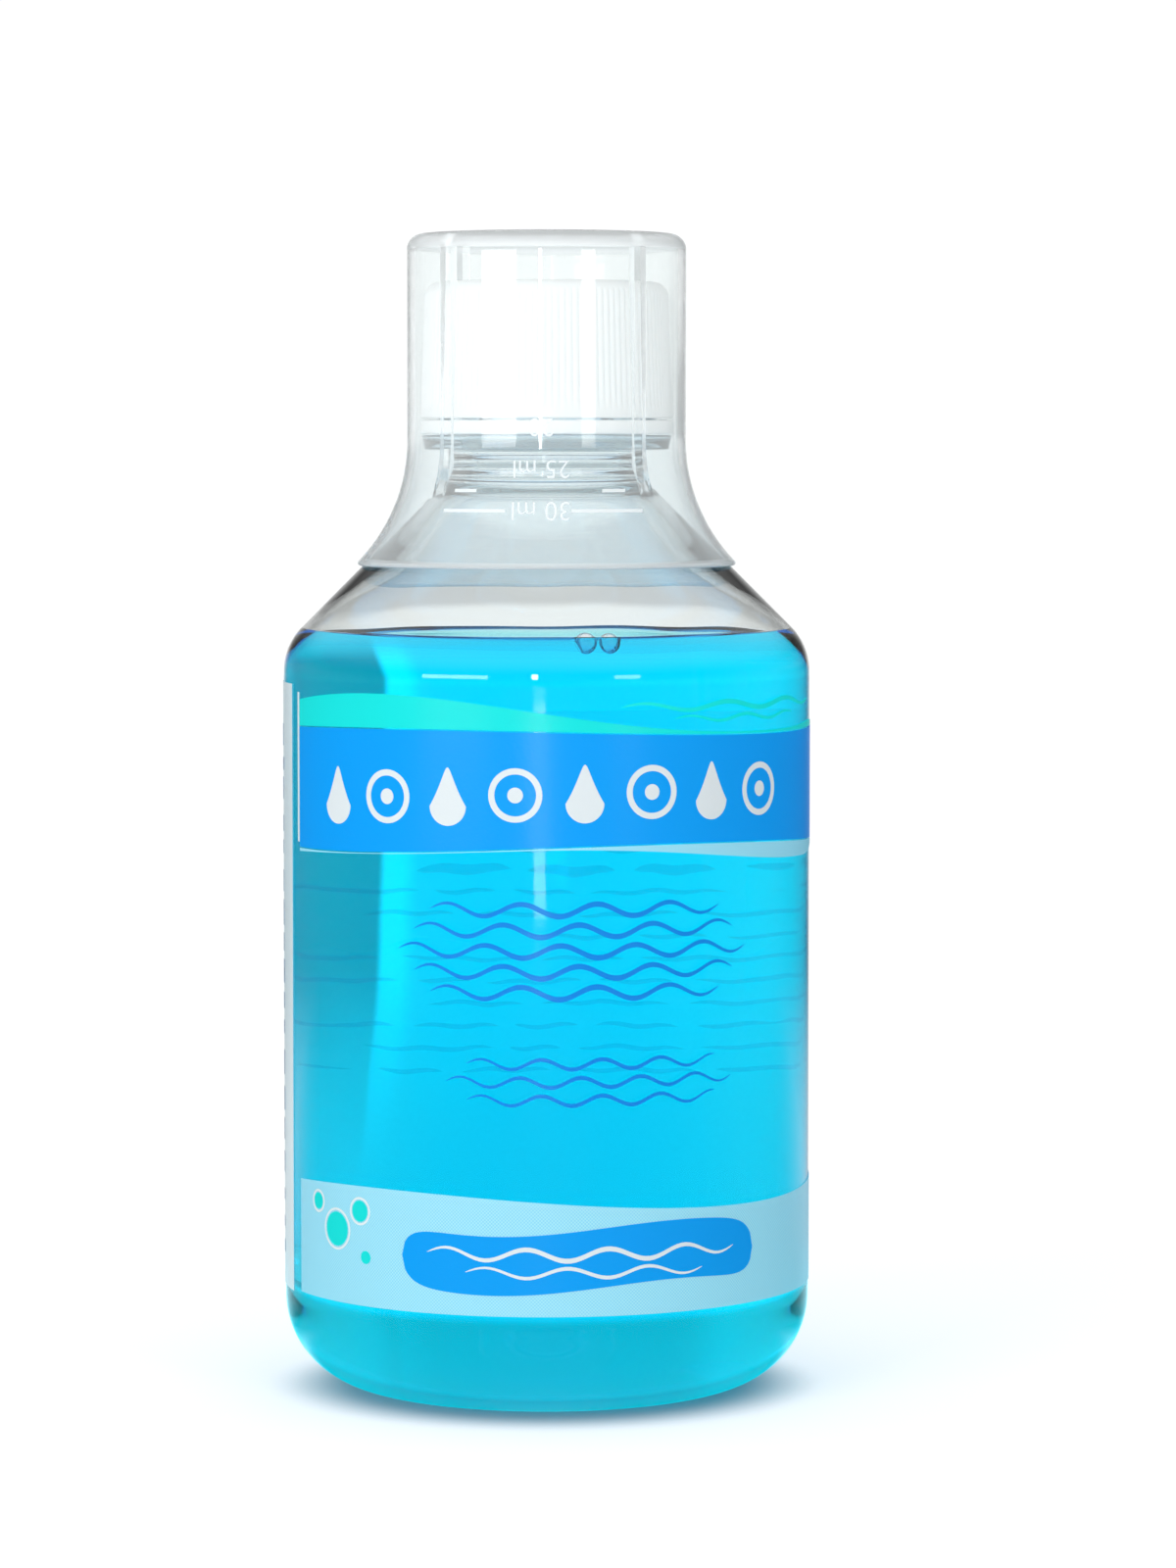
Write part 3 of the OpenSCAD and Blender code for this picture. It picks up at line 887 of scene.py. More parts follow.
    def white(self) -> Iterator[Surface]:
        """Opaque white: drops and rings in the blue band, ripples, bubble rims, and the strips at the film's ends."""
        (size, width, dot), (below, radius, tip) = self.target, self.drop
        for number, s in enumerate(np.arange(-29.0, 31.0, 8.4)):
            z = self.wave(s, self.motif_line)
            if number % 2:
                yield self.ring(s, z, size, width, self.second_ink)
                yield self.disc(s, z, dot, self.second_ink)
            else:
                yield self.disc(s, z - below, radius, self.second_ink, tip)
        for line in self.white_ripples:
            yield self.ripple(*line, self.third_ink)
        for s0, z0, _, *rims in self.bubble_spots:
            for rim in rims:
                yield self.ring(s0, z0, rim, 0.28, self.second_ink)
        strips = ((self.strip_left, self.right - 0.2, 40, 13.0, 88.8),
                  (self.left + 0.2, self.left + 0.75, 3, 69.4, 87.9))
        for start, end, columns, low, high in strips:
            yield self.between(low, high, np.linspace(start, end, columns), self.first_ink, 3)

    def blue_lines(self) -> Iterator[Surface]:
        """Two sets of thin blue ripples on the front."""
        for count, inset, start, end, top, pitch, *wave in self.line_sets:
            for number in range(count):
                short = inset * abs(number - count // 2)
                yield self.ripple(start + short, end - short, top - pitch * number, *wave, self.first_ink)

    def faint_lines(self) -> Iterator[Surface]:
        """Broken rows of faint ripples on the back panel, seen through the liquid."""
        random, (count, top, pitch) = np.random.default_rng(7), self.back_rows
        for number in range(count):
            s, end = random.uniform(78, 84), random.uniform(104, 128)
            width = 1.3 if number < 2 else 0.55
            while s < end:
                length = random.uniform(3.0, 9.0)
                yield self.ripple(s, s + length, top - pitch * number, 0.18, 3.6, width, self.first_ink)
                s += length + 1.2

    def strokes(self) -> Iterator[Surface]:
        """A column of short upright strokes on the white strip at the film's end."""
        random, z = np.random.default_rng(11), 17.0
        while z < 84:
            length = random.uniform(1.2, 3.4)
            s = 158.0 + np.linspace(0, random.uniform(1.4, 2.4), 5)
            yield self.between(z, z + length, s, self.second_ink, 2)
            z += length + random.uniform(0.9, 2.2)

    def silver(self) -> Iterator[Surface]:
        """The silver halftone: the lower band with its wavy top, and a thin wave under the blue band."""
        s = np.linspace(self.left + self.inset, self.front_end, 200)
        high = self.wave(s, self.silver_high)
        middle, half = (high + self.silver_low) / 2, (high - self.silver_low) / 2 * self.rounded_end(s, 5)
        yield self.between(middle - half, middle + half, s, self.first_ink, 6)
        end = self.front_end - 6
        s = np.linspace(self.left + self.inset, end, 200)
        under = self.wave(s, self.under_blue)
        depth = 0.08 + 1.9 * self.wave(s, self.under_swell) ** 2 * smooth_step((end - s) / 12)
        yield self.between(under - depth, under, s, self.first_ink, 3)

    def back_panel(self) -> Iterator[Surface]:
        """The pale panel round the back, which lights the liquid from behind."""
        s = np.linspace(self.front_end + 0.4, self.strip_left - 0.5, 160)
        yield self.between(self.silver_low, self.wave(s, self.back_high), s, self.back_ink, 6)

    def build(self) -> None:
        """Makes the film and its inks."""
        for name, shape, finish, *stands_for in (
                ("film", self.film_sheet, FILM, "wrap_label"), ("blue", self.blue_band, DEEP_BLUE_INK),
                ("mint", self.mint, MINT_INK), ("white", self.white, WHITE_INK),
                ("blue_lines", self.blue_lines, BLUE_LINE_INK), ("back_lines", self.faint_lines, FAINT_LINE_INK),
                ("strokes", self.strokes, STROKE_INK), ("silver", self.silver, SILVER_INK),
                ("back_panel", self.back_panel, PALE_BACK_INK)):
            patch = Surface.joined(list(shape()))
            patch.piece("label_" + name, "bottle_body", "printed_film", finish.material(), tuple(stands_for))


@dataclass
class Closure:
    """The ribbed screw cap and the tamper band under it."""
    ceiling: float = 137.29
    low_r: float = 15.8
    top_r: float = 15.27
    corner_r: float = 2.0
    # Radii and depths of the top's shallow dish and of the gate's mark in its middle
    dish: tuple[Pair, ...] = ((12.6, 0.0), (12.3, 0.12), (1.7, 0.12), (1.5, 0.3), (0.0, 0.3))
    bore_r: float = 14.15
    ceiling_edge: Pair = (0.6, 0.15)
    mouth: Pair = (0.2, 0.5)
    inside_step: float = 0.56
    outside_step: float = 0.72
    edge: float = 0.25
    ribs: int = 120
    rib_columns: int = 6
    rib_depth: float = 0.2
    groove_share: float = 0.6
    hem: float = 1.4
    # A groove runs in above the hem over the first, ends the second under the top, and runs out over the third
    runs: tuple[float, float, float] = (0.7, 0.5, 1.6)
    thread_h: float = 1.05
    thread_root: float = 2.2
    band_z: float = 119.67
    band_top: float = 121.37
    band_lip: float = 120.52
    band_in: float = 14.3
    lip_in: float = 13.3
    band_edge: float = 0.2
    nibs: int = 12
    nib_taper: float = 0.35
    nib_place: Pair = (0.62, 0.1)
    nib_size: tuple[float, float, float] = (0.3, 0.42, 0.22)

    def cap(self) -> Surface:
        """The cap, from the middle of its ceiling down the bore, round the hem and over the top.

        A groove's depth is rib_depth * (1 - |x| / half its width), with x the way from its middle; it runs in
        above the hem and runs out in the corner. The bore carries the thread's ridge.

        Returns:
            The closed surface.
        """
        (wide, bevel), (out, up) = self.ceiling_edge, self.mouth
        inside = np.array([
            (0, self.ceiling), (self.bore_r - wide, self.ceiling), (self.bore_r - bevel, self.ceiling - bevel),
            (self.bore_r, self.ceiling - wide), (self.bore_r, CAP_LOW + up), (self.bore_r + out, CAP_LOW),
        ])
        top = np.concatenate([
            arc((self.top_r - self.corner_r, CAP_HIGH - self.corner_r), self.corner_r, 0, 90, 10),
            [(r, CAP_HIGH - deep) for r, deep in self.dish],
        ])
        hem = arc((self.low_r - self.edge, CAP_LOW + self.edge), self.edge, 270, 360, 4)
        inside = finely(inside, self.inside_step)
        line = np.concatenate([inside, finely(np.concatenate([hem, top]), self.outside_step)])
        angles, z = full_circle(self.ribs * self.rib_columns), line[:, 1:]
        is_outer = (np.arange(len(line)) >= len(inside))[:, None]
        on_bore = ~is_outer & (np.abs(line[:, :1] - self.bore_r) < 0.01)
        way = np.abs((angles * self.ribs / FULL_TURN + 0.5) % 1 - 0.5) / (self.groove_share / 2)
        run_in, under, run_out = self.runs
        length = smooth_step((z - CAP_LOW - self.hem) / run_in) * smooth_step((CAP_HIGH - under - z) / run_out)
        groove = self.rib_depth * smooth_step(1 - way) * length * is_outer * (line[:, :1] > self.dish[0][0] + 0.2)
        middle = THREAD_MIDDLE - THREAD_LEAD / 2
        ridge = thread_ridge(angles, z, middle, self.thread_h, self.thread_root) * on_bore
        return revolve(line, angles, outward=-groove - ridge)

    def band(self) -> Surface:
        """The tamper band with its lip, and the stubs of the bridges that held it to the cap.

        A stub is a small four-sided wedge that stands on the band's top, at equal angles.

        Returns:
            The closed surfaces.
        """
        e = self.band_edge
        line = np.concatenate([
            [(self.lip_in + e, self.band_z), (self.low_r - e, self.band_z)],
            arc((self.low_r - e, self.band_z + e), e, 270, 360, 3)[1:],
            arc((self.low_r - e, self.band_top - e), e, 0, 90, 3),
            [(self.band_in, self.band_top), (self.band_in, self.band_lip), (self.lip_in, self.band_lip),
             (self.lip_in, self.band_z + e)],
        ])
        ring = revolve(line, full_circle(), loop=True)
        a = (np.arange(self.nibs) + 0.5) * FULL_TURN / self.nibs
        corner = np.array([(x, y, z) for z in (0, 1) for x, y in ((-1, -1), (1, -1), (1, 1), (-1, 1))])
        taper = 1 - self.nib_taper * corner[:, 2]
        deep, broad, high = self.nib_size
        inset, sunk = self.nib_place
        r = self.low_r - inset + corner[:, 0] * deep * taper
        turn = a[:, None] + corner[None, :, 1] * broad * taper / self.low_r
        stubs = turned(r, turn, self.band_top - sunk + corner[:, 2] * high).reshape(-1, 3)
        box = np.array([(0, 3, 2, 1), (4, 5, 6, 7), (0, 1, 5, 4), (2, 3, 7, 6), (1, 2, 6, 5), (3, 0, 4, 7)])
        faces = (np.arange(self.nibs)[:, None, None] * 8 + box[None]).reshape(-1, 4)
        return Surface.joined([ring, Surface(stubs, [faces])])

    def build(self) -> None:
        """Makes the cap and the band, and dresses the liner that the frame brings."""
        white = CAP_PP.material()
        self.cap().piece("ribbed_cap", "cap", "white_cap_plastic", white, ("screw_cap",), 50)
        self.band().piece("band_ring", "band", "white_cap_plastic", white, ("tamper_band",))
        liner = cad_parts["cap_liner"]
        liner.data.materials.clear()
        liner.data.materials.append(FOAM.material())


@dataclass
class DosingCup:
    """The dosing cup, turned over the cap, with its gripping ribs and its graduations."""
    cup_r: float = 17.5
    wall: float = 0.95
    rim_t: float = 0.7
    corner_r: float = 2.0
    floor_z: float = 143.54
    top_z: float = 144.64
    flare_r: float = 21.9
    rim_r: float = 23.65
    flare_z: float = 119.03
    grip_low_r: float = 15.88
    grip_top_r: float = 15.35
    grip_w: float = 1.5
    grip_end: float = 115.55
    grip_tip: float = 112.55
    grips: int = 4
    turn: float = -2.2
    # In half widths of a rib: its close columns, how far off the even ones stay, and its side's end and run
    grip_edges: tuple[float, ...] = (-1.35, -1.2, -1.1, -1.0, -0.9, -0.5, 0.0, 0.5, 0.9, 1.0, 1.1, 1.2, 1.35)
    grip_clear: float = 1.6
    grip_side: Pair = (1.2, 0.3)
    proud: float = 0.1
    sunk: float = 0.02
    # Height of a figure's middle, height of its capitals, and its words
    marks: tuple[tuple[float, float, str], ...] = ((110.4, 2.4, "30 ml"), (115.5, 2.3, "25 ml"), (120.6, 2.3, "20"))
    # Middle, width and height on the cup of each raised line
    bars: Rows = (
        (-8.7, 8.6, 110.3), (8.6, 9.6, 110.3), (-9.8, 3.15, 112.75), (9.25, 3.15, 112.75))
    bar_h: float = 0.4
    capital: float = 0.72
    thinned: float = 0.012
    even_columns: int = 224
    flare_rows: int = 28
    inside_step: float = 0.7
    outside_step: float = 0.9

    @property
    def flare_a(self) -> float:
        """Angle of the flare's arc at the rim, in degrees."""
        return math.degrees(math.acos(1 - (self.rim_r - self.cup_r) / self.flare_r))

    def flare(self, share: Array, depth: Array) -> Array:
        """Points of the flare at a share of its angle and at a depth below its outer skin."""
        a = np.radians(self.flare_a * share)
        size = self.flare_r + depth
        return np.column_stack([self.cup_r + self.flare_r - size * np.cos(a), self.flare_z - size * np.sin(a)])

    def outer_radius(self, z: Array) -> Array:
        """Radius of the cup's outer skin at a height: straight, then along the flare's arc."""
        drop = np.clip(self.flare_z - z, 0, self.flare_r)
        return self.cup_r + self.flare_r - np.sqrt(self.flare_r ** 2 - drop ** 2)

    @property
    def grip_middles(self) -> Array:
        """Angles of the gripping ribs' middles."""
        return (np.arange(self.grips) + 0.5) * FULL_TURN / self.grips + math.radians(self.turn)

    @property
    def grip_half(self) -> float:
        """Half the width of a gripping rib, as an angle in radians."""
        return self.grip_w / 2 / self.grip_low_r

    def from_grip(self, angles: Array) -> Array:
        """How far angles lie from the nearest gripping rib's middle, in half widths of the rib."""
        apart = (angles[:, None] - self.grip_middles[None, :] + math.pi) % FULL_TURN - math.pi
        return np.abs(apart).min(axis=1) / self.grip_half

    def is_edge(self, middles: Array) -> Array:
        """Tells which faces are the rim's round, the top's corner or a gripping rib's side, from their middles."""
        r = np.hypot(middles[:, 0], middles[:, 1])
        away, (end, run) = self.from_grip(np.arctan2(middles[:, 1], middles[:, 0]) % FULL_TURN), self.grip_side
        side = (away > end - run) & (away < end) & (r < self.outer_radius(middles[:, 2]) - self.wall - 0.06)
        rim = self.flare_z - self.flare_r * math.sin(math.radians(self.flare_a))
        corner = (r > self.cup_r - self.corner_r - 0.4) & (middles[:, 2] > self.top_z - self.corner_r)
        return (side & (middles[:, 2] < self.floor_z - 0.1)) | (middles[:, 2] < rim + 0.12) | corner

    def columns(self) -> Array:
        """Angles of the columns: even ones, and close pairs at both sides of each gripping rib."""
        even, edges = full_circle(self.even_columns), np.array(self.grip_edges) * self.grip_half
        close = (self.grip_middles[:, None] + edges[None, :]).ravel() % FULL_TURN
        return np.sort(np.concatenate([even[self.from_grip(even) > self.grip_clear], close]))

    def shell(self) -> Surface:
        """The cup: its closed profile turned about the axis, with the gripping ribs raised on its inside.

        Within a rib's width the inside wall's radius is the lesser of the wall's and the rib's edge, with
        rounded sides. The edge follows the cap's ribs, and below its free end it runs out into the flare.

        Returns:
            The closed surface.
        """
        share = np.linspace(0, 1, self.flare_rows)
        thin = self.wall + (self.rim_t - self.wall) * share
        rim = self.flare(np.array([1.0]), np.array([self.rim_t / 2]))[0]
        outer = np.concatenate([
            [(0, self.top_z)],
            arc((self.cup_r - self.corner_r, self.top_z - self.corner_r), self.corner_r, 90, 0, 12),
            self.flare(share, np.zeros_like(share)),
        ])[::-1]
        inner = np.concatenate([
            self.flare(share, thin)[::-1],
            arc((self.cup_r - self.corner_r, self.floor_z - self.corner_r + self.wall),
                self.corner_r - self.wall, 0, 90, 8),
            [(0, self.floor_z)],
        ])
        lip = arc(tuple(rim), self.rim_t / 2, self.flare_a + 360, self.flare_a + 180, 10)[1:-1]
        # From the floor's middle inside, down to the rim, and up the outside to the middle of the top
        inside = finely(inner[::-1], self.inside_step)
        line = np.concatenate([inside, lip[::-1], finely(outer, self.outside_step)])
        angles, z = self.columns(), line[:, 1:]
        end, run = self.grip_side
        on_rib = smooth_step((end - self.from_grip(angles)) / run)[None, :]
        is_inside = (np.arange(len(line)) < len(inside))[:, None]
        edge = np.interp(z, [self.grip_tip - 1.5, self.grip_tip, self.grip_end, CAP_LOW, CAP_HIGH],
                         [30.0, float(self.outer_radius(np.array(self.grip_tip))) - self.wall,
                          self.grip_low_r, self.grip_low_r, self.grip_top_r])
        near_wall = line[:, :1] > self.grip_top_r
        sunk = np.minimum(edge - line[:, :1], 0) * near_wall * is_inside * on_rib
        return revolve(line, angles, outward=sunk)

    def skin_point(self, x: Array, z: Array, lift: Array | float) -> Array:
        """Points on the cup's front, x to the right and z up, raised above its skin by lift."""
        r = self.outer_radius(z) + lift
        return turned(r, x / r - QUARTER_TURN + math.radians(self.turn), z)

    def bar(self, middle: float, width: float, z: float) -> Surface:
        """A raised line of the scale: a thin block on the cup's skin, from x - w / 2 to x + w / 2."""
        x = middle + width * np.linspace(-0.5, 0.5, max(3, int(width / 0.7)))
        flat = np.meshgrid(x, z + self.bar_h * np.array([-0.5, 0.5]))
        return slab(self.skin_point(*flat, self.proud), self.skin_point(*flat, -self.sunk))

    def figure(self, words: str, height: float, z: float) -> Surface:
        """Figures of the scale, upside down here because the cup is: (x, y) goes to (-x, z - y) on the skin.

        Args:
            words: a plain number, with its unit.
            height: height of a capital, about 0.7 of the type size.
            z: height of the middle of the figures.
        Returns:
            The figures as closed blocks on the cup's skin.
        """
        curve = bpy.data.curves.new("scale_figure", "FONT")
        curve.body, curve.align_x, curve.align_y = words, "CENTER", "CENTER"
        curve.size, curve.offset = height / self.capital, -self.thinned * height
        curve.extrude, curve.resolution_u = 0.5, 6
        holder = bpy.data.objects.new("scale_figure", curve)
        bpy.context.scene.collection.objects.link(holder)
        mesh = bpy.data.meshes.new_from_object(holder.evaluated_get(bpy.context.evaluated_depsgraph_get()))
        flat = np.empty(len(mesh.vertices) * 3)
        mesh.vertices.foreach_get("co", flat)
        flat = flat.reshape(-1, 3)
        faces = [np.array([list(face.vertices)]) for face in mesh.polygons]
        bpy.data.objects.remove(holder)
        bpy.data.curves.remove(curve)
        lift = np.where(flat[:, 2] > 0, self.proud, -self.sunk)
        return Surface(self.skin_point(-flat[:, 0], z - flat[:, 1], lift), faces)

    def scale_marks(self) -> Surface:
        """All graduations of the front: figures, the broken 30 ml line and the 25 ml dashes."""
        parts = [self.figure(words, height, z) for z, height, words in self.marks]
        parts += [self.bar(*place) for place in self.bars]
        return Surface.joined(parts)

    def build(self) -> None:
        """Makes the cup and its graduations."""
        slot = "clear_cup_plastic"
        # The milkier edges give the rib sides, the rim and the top's corner a painted highlight, as well as a rougher
        # mould's frost
        self.shell().piece("clear_cup", "cup", slot, CUP_PP.material(), ("dosing_cup",), 34,
                           ((CUP_EDGES_FROST_AND_SHEEN.material(), self.is_edge),))
        self.scale_marks().piece("cup_graduations", "cup", slot, CUP_MARKS.material())


# ---- the studio ----

@dataclass(frozen=True)
class Softbox:
    """A soft lamp: where it stands, seen from the object, and how large and bright it is. Lengths in metres."""
    name: str
    angle: float
    distance: float
    height: float
    size: Pair
    brightness: float
    mirrored: bool = True
    colour: tuple[float, float, float] = (1.0, 1.0, 1.0)
    aim_height: float = 0.11
    tilt: float = 0.5

    def build(self) -> None:
        """Sets the lamp up facing the bottle; power = brightness * pi * area."""
        lamp = bpy.data.lights.new(self.name, "AREA")
        lamp.shape, (lamp.size, lamp.size_y) = "RECTANGLE", self.size
        lamp.energy = self.brightness * math.pi * self.size[0] * self.size[1]
        lamp.color = self.colour
        holder = bpy.data.objects.new(self.name, lamp)
        holder.visible_glossy = holder.visible_transmission = self.mirrored
        a = math.radians(self.angle)
        holder.location = (self.distance * math.sin(a), -self.distance * math.cos(a), self.height)
        aim = Vector((0, 0, self.aim_height)) - holder.location
        aim.z *= self.tilt
        holder.rotation_euler = aim.to_track_quat("-Z", "Y").to_euler()
        bpy.context.scene.collection.objects.link(holder)


@dataclass
class Studio:
    """Camera, white surroundings, pale floor and soft lamps."""
    camera_at: tuple[float, float, float] = (0.0, -0.676, 0.1194)
    pitch: float = -3.70
    yaw: float = -0.44
    lens: float = 123.5
    room_light: float = 0.78
    camera_white: float = 1.04
    paper_lift: float = 0.34
    floor_half: float = 3.0
    floor_drop: float = 0.0002
    bounces: int = 28
    # Ramps (x0, x1, y0, y1): over the height of a direction, and over how far aside it points
    sky_levels: tuple[Ramp, ...] = ((0.03, 0.08, 1.08, 0.74), (0.17, 0.27, 0.0, -0.17), (0.34, 0.5, 0.0, -0.25))
    sky_aside: Ramp = (0.25, 0.42, 1.0, 1.22)
    back_aside: Ramp = (0.1, 0.4, 1.0, 0.1)
    overhead: Ramp = (0.1, 0.6, 0.0, 0.6)
    # Over how far a direction points away from the camera
    room_depth: Ramp = (-0.5, 0.35, 0.3, 1.0)
    room_back: Ramp = (0.3, 0.97, 0.04, 1.0)
    floor_depth: Ramp = (-0.9, 0.0, 0.8, 1.2)
    floor_back: Ramp = (0.3, 0.97, 0.04, 0.9)
    floor_front: Ramp = (-0.1, 0.4, 1.0, 0.0)
    floor_side: Ramp = (0.4, 0.9, 1.0, 0.0)
    # Over the azimuth in radians: the grey screen's near side, far side and bright edge; its foot, over the height
    flag_sides: tuple[Ramp, ...] = ((0.305, 0.335, 0.3, -0.54), (0.85, 1.1, 0.0, 0.54), (0.22, 0.27, -0.3, 0.0))
    flag_foot: Ramp = (0.005, 0.03, 1.0, 0.1)
    # Over the distance from the bottle's axis, in metres
    floor_end: Ramp = (0.16, 0.6, 0.0, 1.0)
    # Where the painted shadow under the bottle ends and the pale paper begins
    painted_foot_shadow: Ramp = (0.024, 0.036, 0.0, 1.0)
    near_mirror: Ramp = (0.03, 0.05, 0.0, 1.0)
    # How far the painted teal glow on the floor round the bottle reaches
    painted_caustic_reach: Ramp = (0.06, 0.16, 1.5, 0.0)
    lamps: tuple[Softbox, ...] = (
        Softbox("softbox_left", -38.0, 0.8, 0.30, (0.42, 0.34), 4.6, False),
        Softbox("softbox_right", 34.5, 0.8, 0.30, (0.16, 0.34), 3.4, False),
        Softbox("window_left", -39.5, 0.8, 0.142, (0.42, 0.085), 4.2),
        Softbox("window_right", 34.5, 0.8, 0.142, (0.16, 0.085), 3.4, True, (1.0, 0.96, 0.88)),
        Softbox("strip_front", -5.0, 0.72, 0.147, (0.03, 0.095), 26.0),
        Softbox("strip_low", -3.0, 0.72, 0.020, (0.06, 0.07), 6.0),
    )

    def camera(self) -> None:
        """The photograph's camera: a long lens just under the height of the cap, looking slightly down."""
        lens = bpy.data.cameras.new("photo_camera")
        lens.lens, lens.sensor_width, lens.clip_start = self.lens, 36.0, 0.01
        holder = bpy.data.objects.new("photo_camera", lens)
        holder.location = self.camera_at
        holder.rotation_euler = (math.radians(90 + self.pitch), 0, math.radians(self.yaw))
        bpy.context.scene.collection.objects.link(holder)
        bpy.context.scene.camera = holder

    def product(self, tree: Tree, *factors: Socket | float | tuple[Socket, Ramp]) -> Node:
        """The product of sockets, numbers and smooth steps over a socket, from y0 at x0 to y1 at x1.

        Args:
            tree: the node tree.
            factors: in order; a pair is a socket and the ramp (x0, x1, y0, y1) over it.
        Returns:
            The node of the product.
        """
        steps = [add(tree, "MapRange", (factor[0], *factor[1]), **STEP) if isinstance(factor, tuple) else factor
                 for factor in factors]
        whole = steps[0]
        for step in steps[1:]:
            whole = add(tree, "Math", (whole, step), **TIMES)
        return whole

    def by_ray(self, tree: Tree, gloss: Node, through: Node) -> Node:
        """Brightness of the surroundings by who looks: matt surfaces see the room's light, the camera white.

        Args:
            tree: the node tree.
            gloss: what reflections show.
            through: what is seen through clear pieces.
        Returns:
            The node of the brightness.
        """
        path, level = add(tree, "LightPath").outputs, self.room_light
        for ray, seen in (("Glossy", gloss), ("Transmission", through), ("Camera", self.camera_white)):
            level = add(tree, "Mix", {0: path[f"Is {ray} Ray"], 2: level, 3: seen})
        return level

    def flag(self, tree: Tree, way: Node) -> Node:
        """Dimness of a grey screen that stands behind the bottle, from 20 to 60 degrees to the right.

        The light catches its near edge, which shows in the liquid as a bright upright streak.

        Args:
            tree: the node tree.
            way: a node with the X, Y and Z of the direction.
        Returns:
            The node of the share of light that is left.
        """
        x, y, z = way.outputs
        azimuth = add(tree, "Math", (x, y), **TURN_OF)
        near, far, edge = [self.product(tree, (azimuth, side)) for side in self.flag_sides]
        whole = add(tree, "Math", (add(tree, "Math", (near, far), **PLUS), edge), **PLUS)
        return add(tree, "Math", (whole, self.product(tree, (z, self.flag_foot)), 1.0), operation="MULTIPLY_ADD")

    def sky(self, tree: Tree, way: Node) -> Node:
        """Brightness over the height: white behind, less and less above, and more towards the sides.

        Args:
            tree: the node tree.
            way: a node with the X, Y and Z of the direction.
        Returns:
            The node of the brightness.
        """
        x, _, z = way.outputs
        level, *steps = [self.product(tree, (z, ramp)) for ramp in self.sky_levels]
        for step in steps:
            level = add(tree, "Math", (level, step), **PLUS)
        return self.product(tree, level, (add(tree, "Math", (x,), **SIZE_OF), self.sky_aside))

    def back_of_room(self, tree: Tree, way: Node, depth: Ramp) -> Node:
        """How much of the room behind the bottle reflections show: its middle, and little of its sides."""
        x, y, _ = way.outputs
        return self.product(tree, (y, depth), (add(tree, "Math", (x,), **SIZE_OF), self.back_aside))

    def surroundings(self) -> None:
        """White for the camera and through clear pieces; gloss sees a room that is dark on the camera's side."""
        world = bpy.data.worlds.new("white_room")
        bpy.context.scene.world = world
        world.use_nodes = True
        tree = world.node_tree
        tree.nodes.clear()
        way = add(tree, "SeparateXYZ", (add(tree, "TexCoord").outputs["Generated"],))
        _, y, z = way.outputs
        behind = self.product(tree, self.sky(tree, way), self.flag(tree, way))
        through = self.product(tree, behind, (y, self.room_depth))
        back = self.product(tree, behind, self.back_of_room(tree, way, self.room_back))
        gloss = add(tree, "Math", (back, self.product(tree, (z, self.overhead))), **MOST)
        light = add(tree, "Background", {"Color": SOFT_WHITE, "Strength": self.by_ray(tree, gloss, through)})
        add(tree, "OutputWorld", {"Surface": light})

    def paper(self, tree: Tree) -> dict:
        """Pale grey matt paper, by the distance from the bottle and by who looks, with a painted shadow under it.

        Args:
            tree: the node tree.
        Returns:
            What the output takes.
        """
        where = add(tree, "TexCoord").outputs["Object"]
        far = add(tree, "VectorMath", (where,), operation="LENGTH").outputs["Value"]
        path = add(tree, "LightPath").outputs
        way = add(tree, "SeparateXYZ", (add(tree, "VectorMath", (where,), operation="NORMALIZE"),))
        y = way.outputs["Y"]
        seen = add(tree, "Math", (path["Is Camera Ray"], path["Is Transmission Ray"]), **MOST)
        # A painted shadow under the bottle: there the paper is a darker grey-blue and gets no lift
        outside_painted_shadow = self.product(tree, (far, self.painted_foot_shadow))
        shade = add(tree, "Mix", {0: outside_painted_shadow, 6: linear("#AEB8BA"), 7: linear("#EDEDEC")}, data_type="RGBA").outputs[2]
        lift = add(tree, "Emission", (linear("#FFFFFF"), self.product(tree, seen, outside_painted_shadow, self.paper_lift)))
        near = add(tree, "AddShader", (add(tree, "BsdfDiffuse", {"Color": shade}), lift))

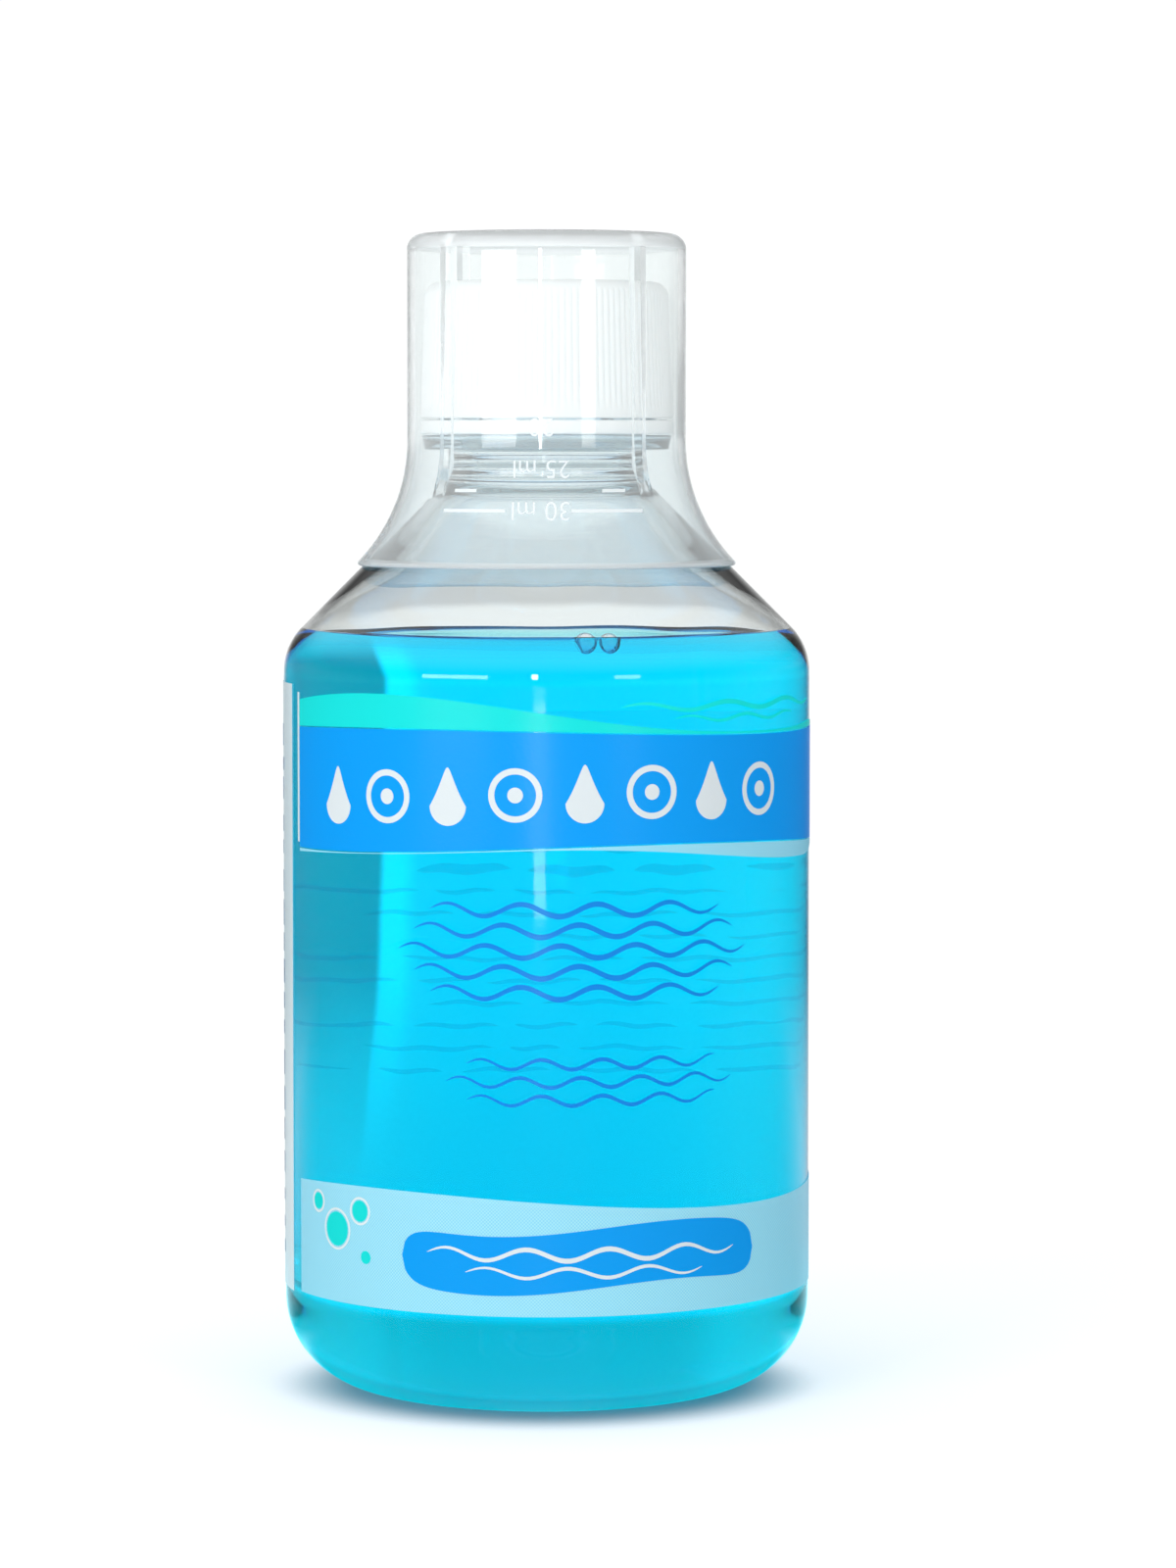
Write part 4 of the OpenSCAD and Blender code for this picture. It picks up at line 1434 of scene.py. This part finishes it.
        through = self.product(tree, (y, self.floor_depth), self.flag(tree, way))
        away = self.by_ray(tree, self.back_of_room(tree, way, self.floor_back), through)
        beside = self.product(tree, (y, self.floor_side), (far, self.near_mirror))
        in_front = add(tree, "Math", (self.product(tree, (y, self.floor_front)), beside), **MOST)
        mirrored = self.product(tree, path["Is Glossy Ray"], in_front)
        share = add(tree, "Math", (self.product(tree, (far, self.floor_end)), mirrored), **MOST)
        white = add(tree, "Emission", (SOFT_WHITE, away))
        mixed = add(tree, "MixShader", (share, near, white))

        # A painted pool of teal light, an emission that only reflections see, stands for the light that has come
        # through the liquid onto the floor round the bottle, whose skin mirrors it
        rays = (path["Is Glossy Ray"], path["Is Transmission Ray"])
        mirror = add(tree, "Math", rays, operation="SUBTRACT", use_clamp=True)
        painted_caustic_glow = add(tree, "Emission", (linear("#00BCD0"), self.product(tree, (far, self.painted_caustic_reach), mirror)))
        return {"Surface": add(tree, "AddShader", (mixed, painted_caustic_glow))}

    def floor(self) -> None:
        """A pale floor that keeps the bottle's shadow and turns into the white surroundings further off."""
        side = np.array([(-1, -1, 0), (1, -1, 0), (1, 1, 0), (-1, 1, 0)], float) * self.floor_half
        mesh = bpy.data.meshes.new("floor")
        mesh.from_pydata((side - [0, 0, self.floor_drop]).tolist(), [], [(0, 1, 2, 3)])
        mesh.materials.append(new_material("floor_pale_paper", self.paper))
        made = bpy.data.objects.new("floor", mesh)
        bpy.context.scene.collection.objects.link(made)

    def build(self) -> None:
        """Sets the whole studio up, with enough bounces for the nested clear walls."""
        self.camera()
        self.surroundings()
        self.floor()
        for lamp in self.lamps:
            lamp.build()
        scene = bpy.context.scene
        scene.view_settings.view_transform = "Standard"
        scene.cycles.max_bounces = scene.cycles.transmission_bounces = self.bounces
        scene.cycles.transparent_max_bounces = 48
        scene.cycles.caustics_reflective = scene.cycles.caustics_refractive = False


def main() -> None:
    logging.basicConfig(level=logging.INFO, format="%(message)s")
    for maker in (Studio(), BlownBottle(), PrintedLabel(), Closure(), DosingCup()):
        maker.build()


if __name__ == "__main__":
    main()
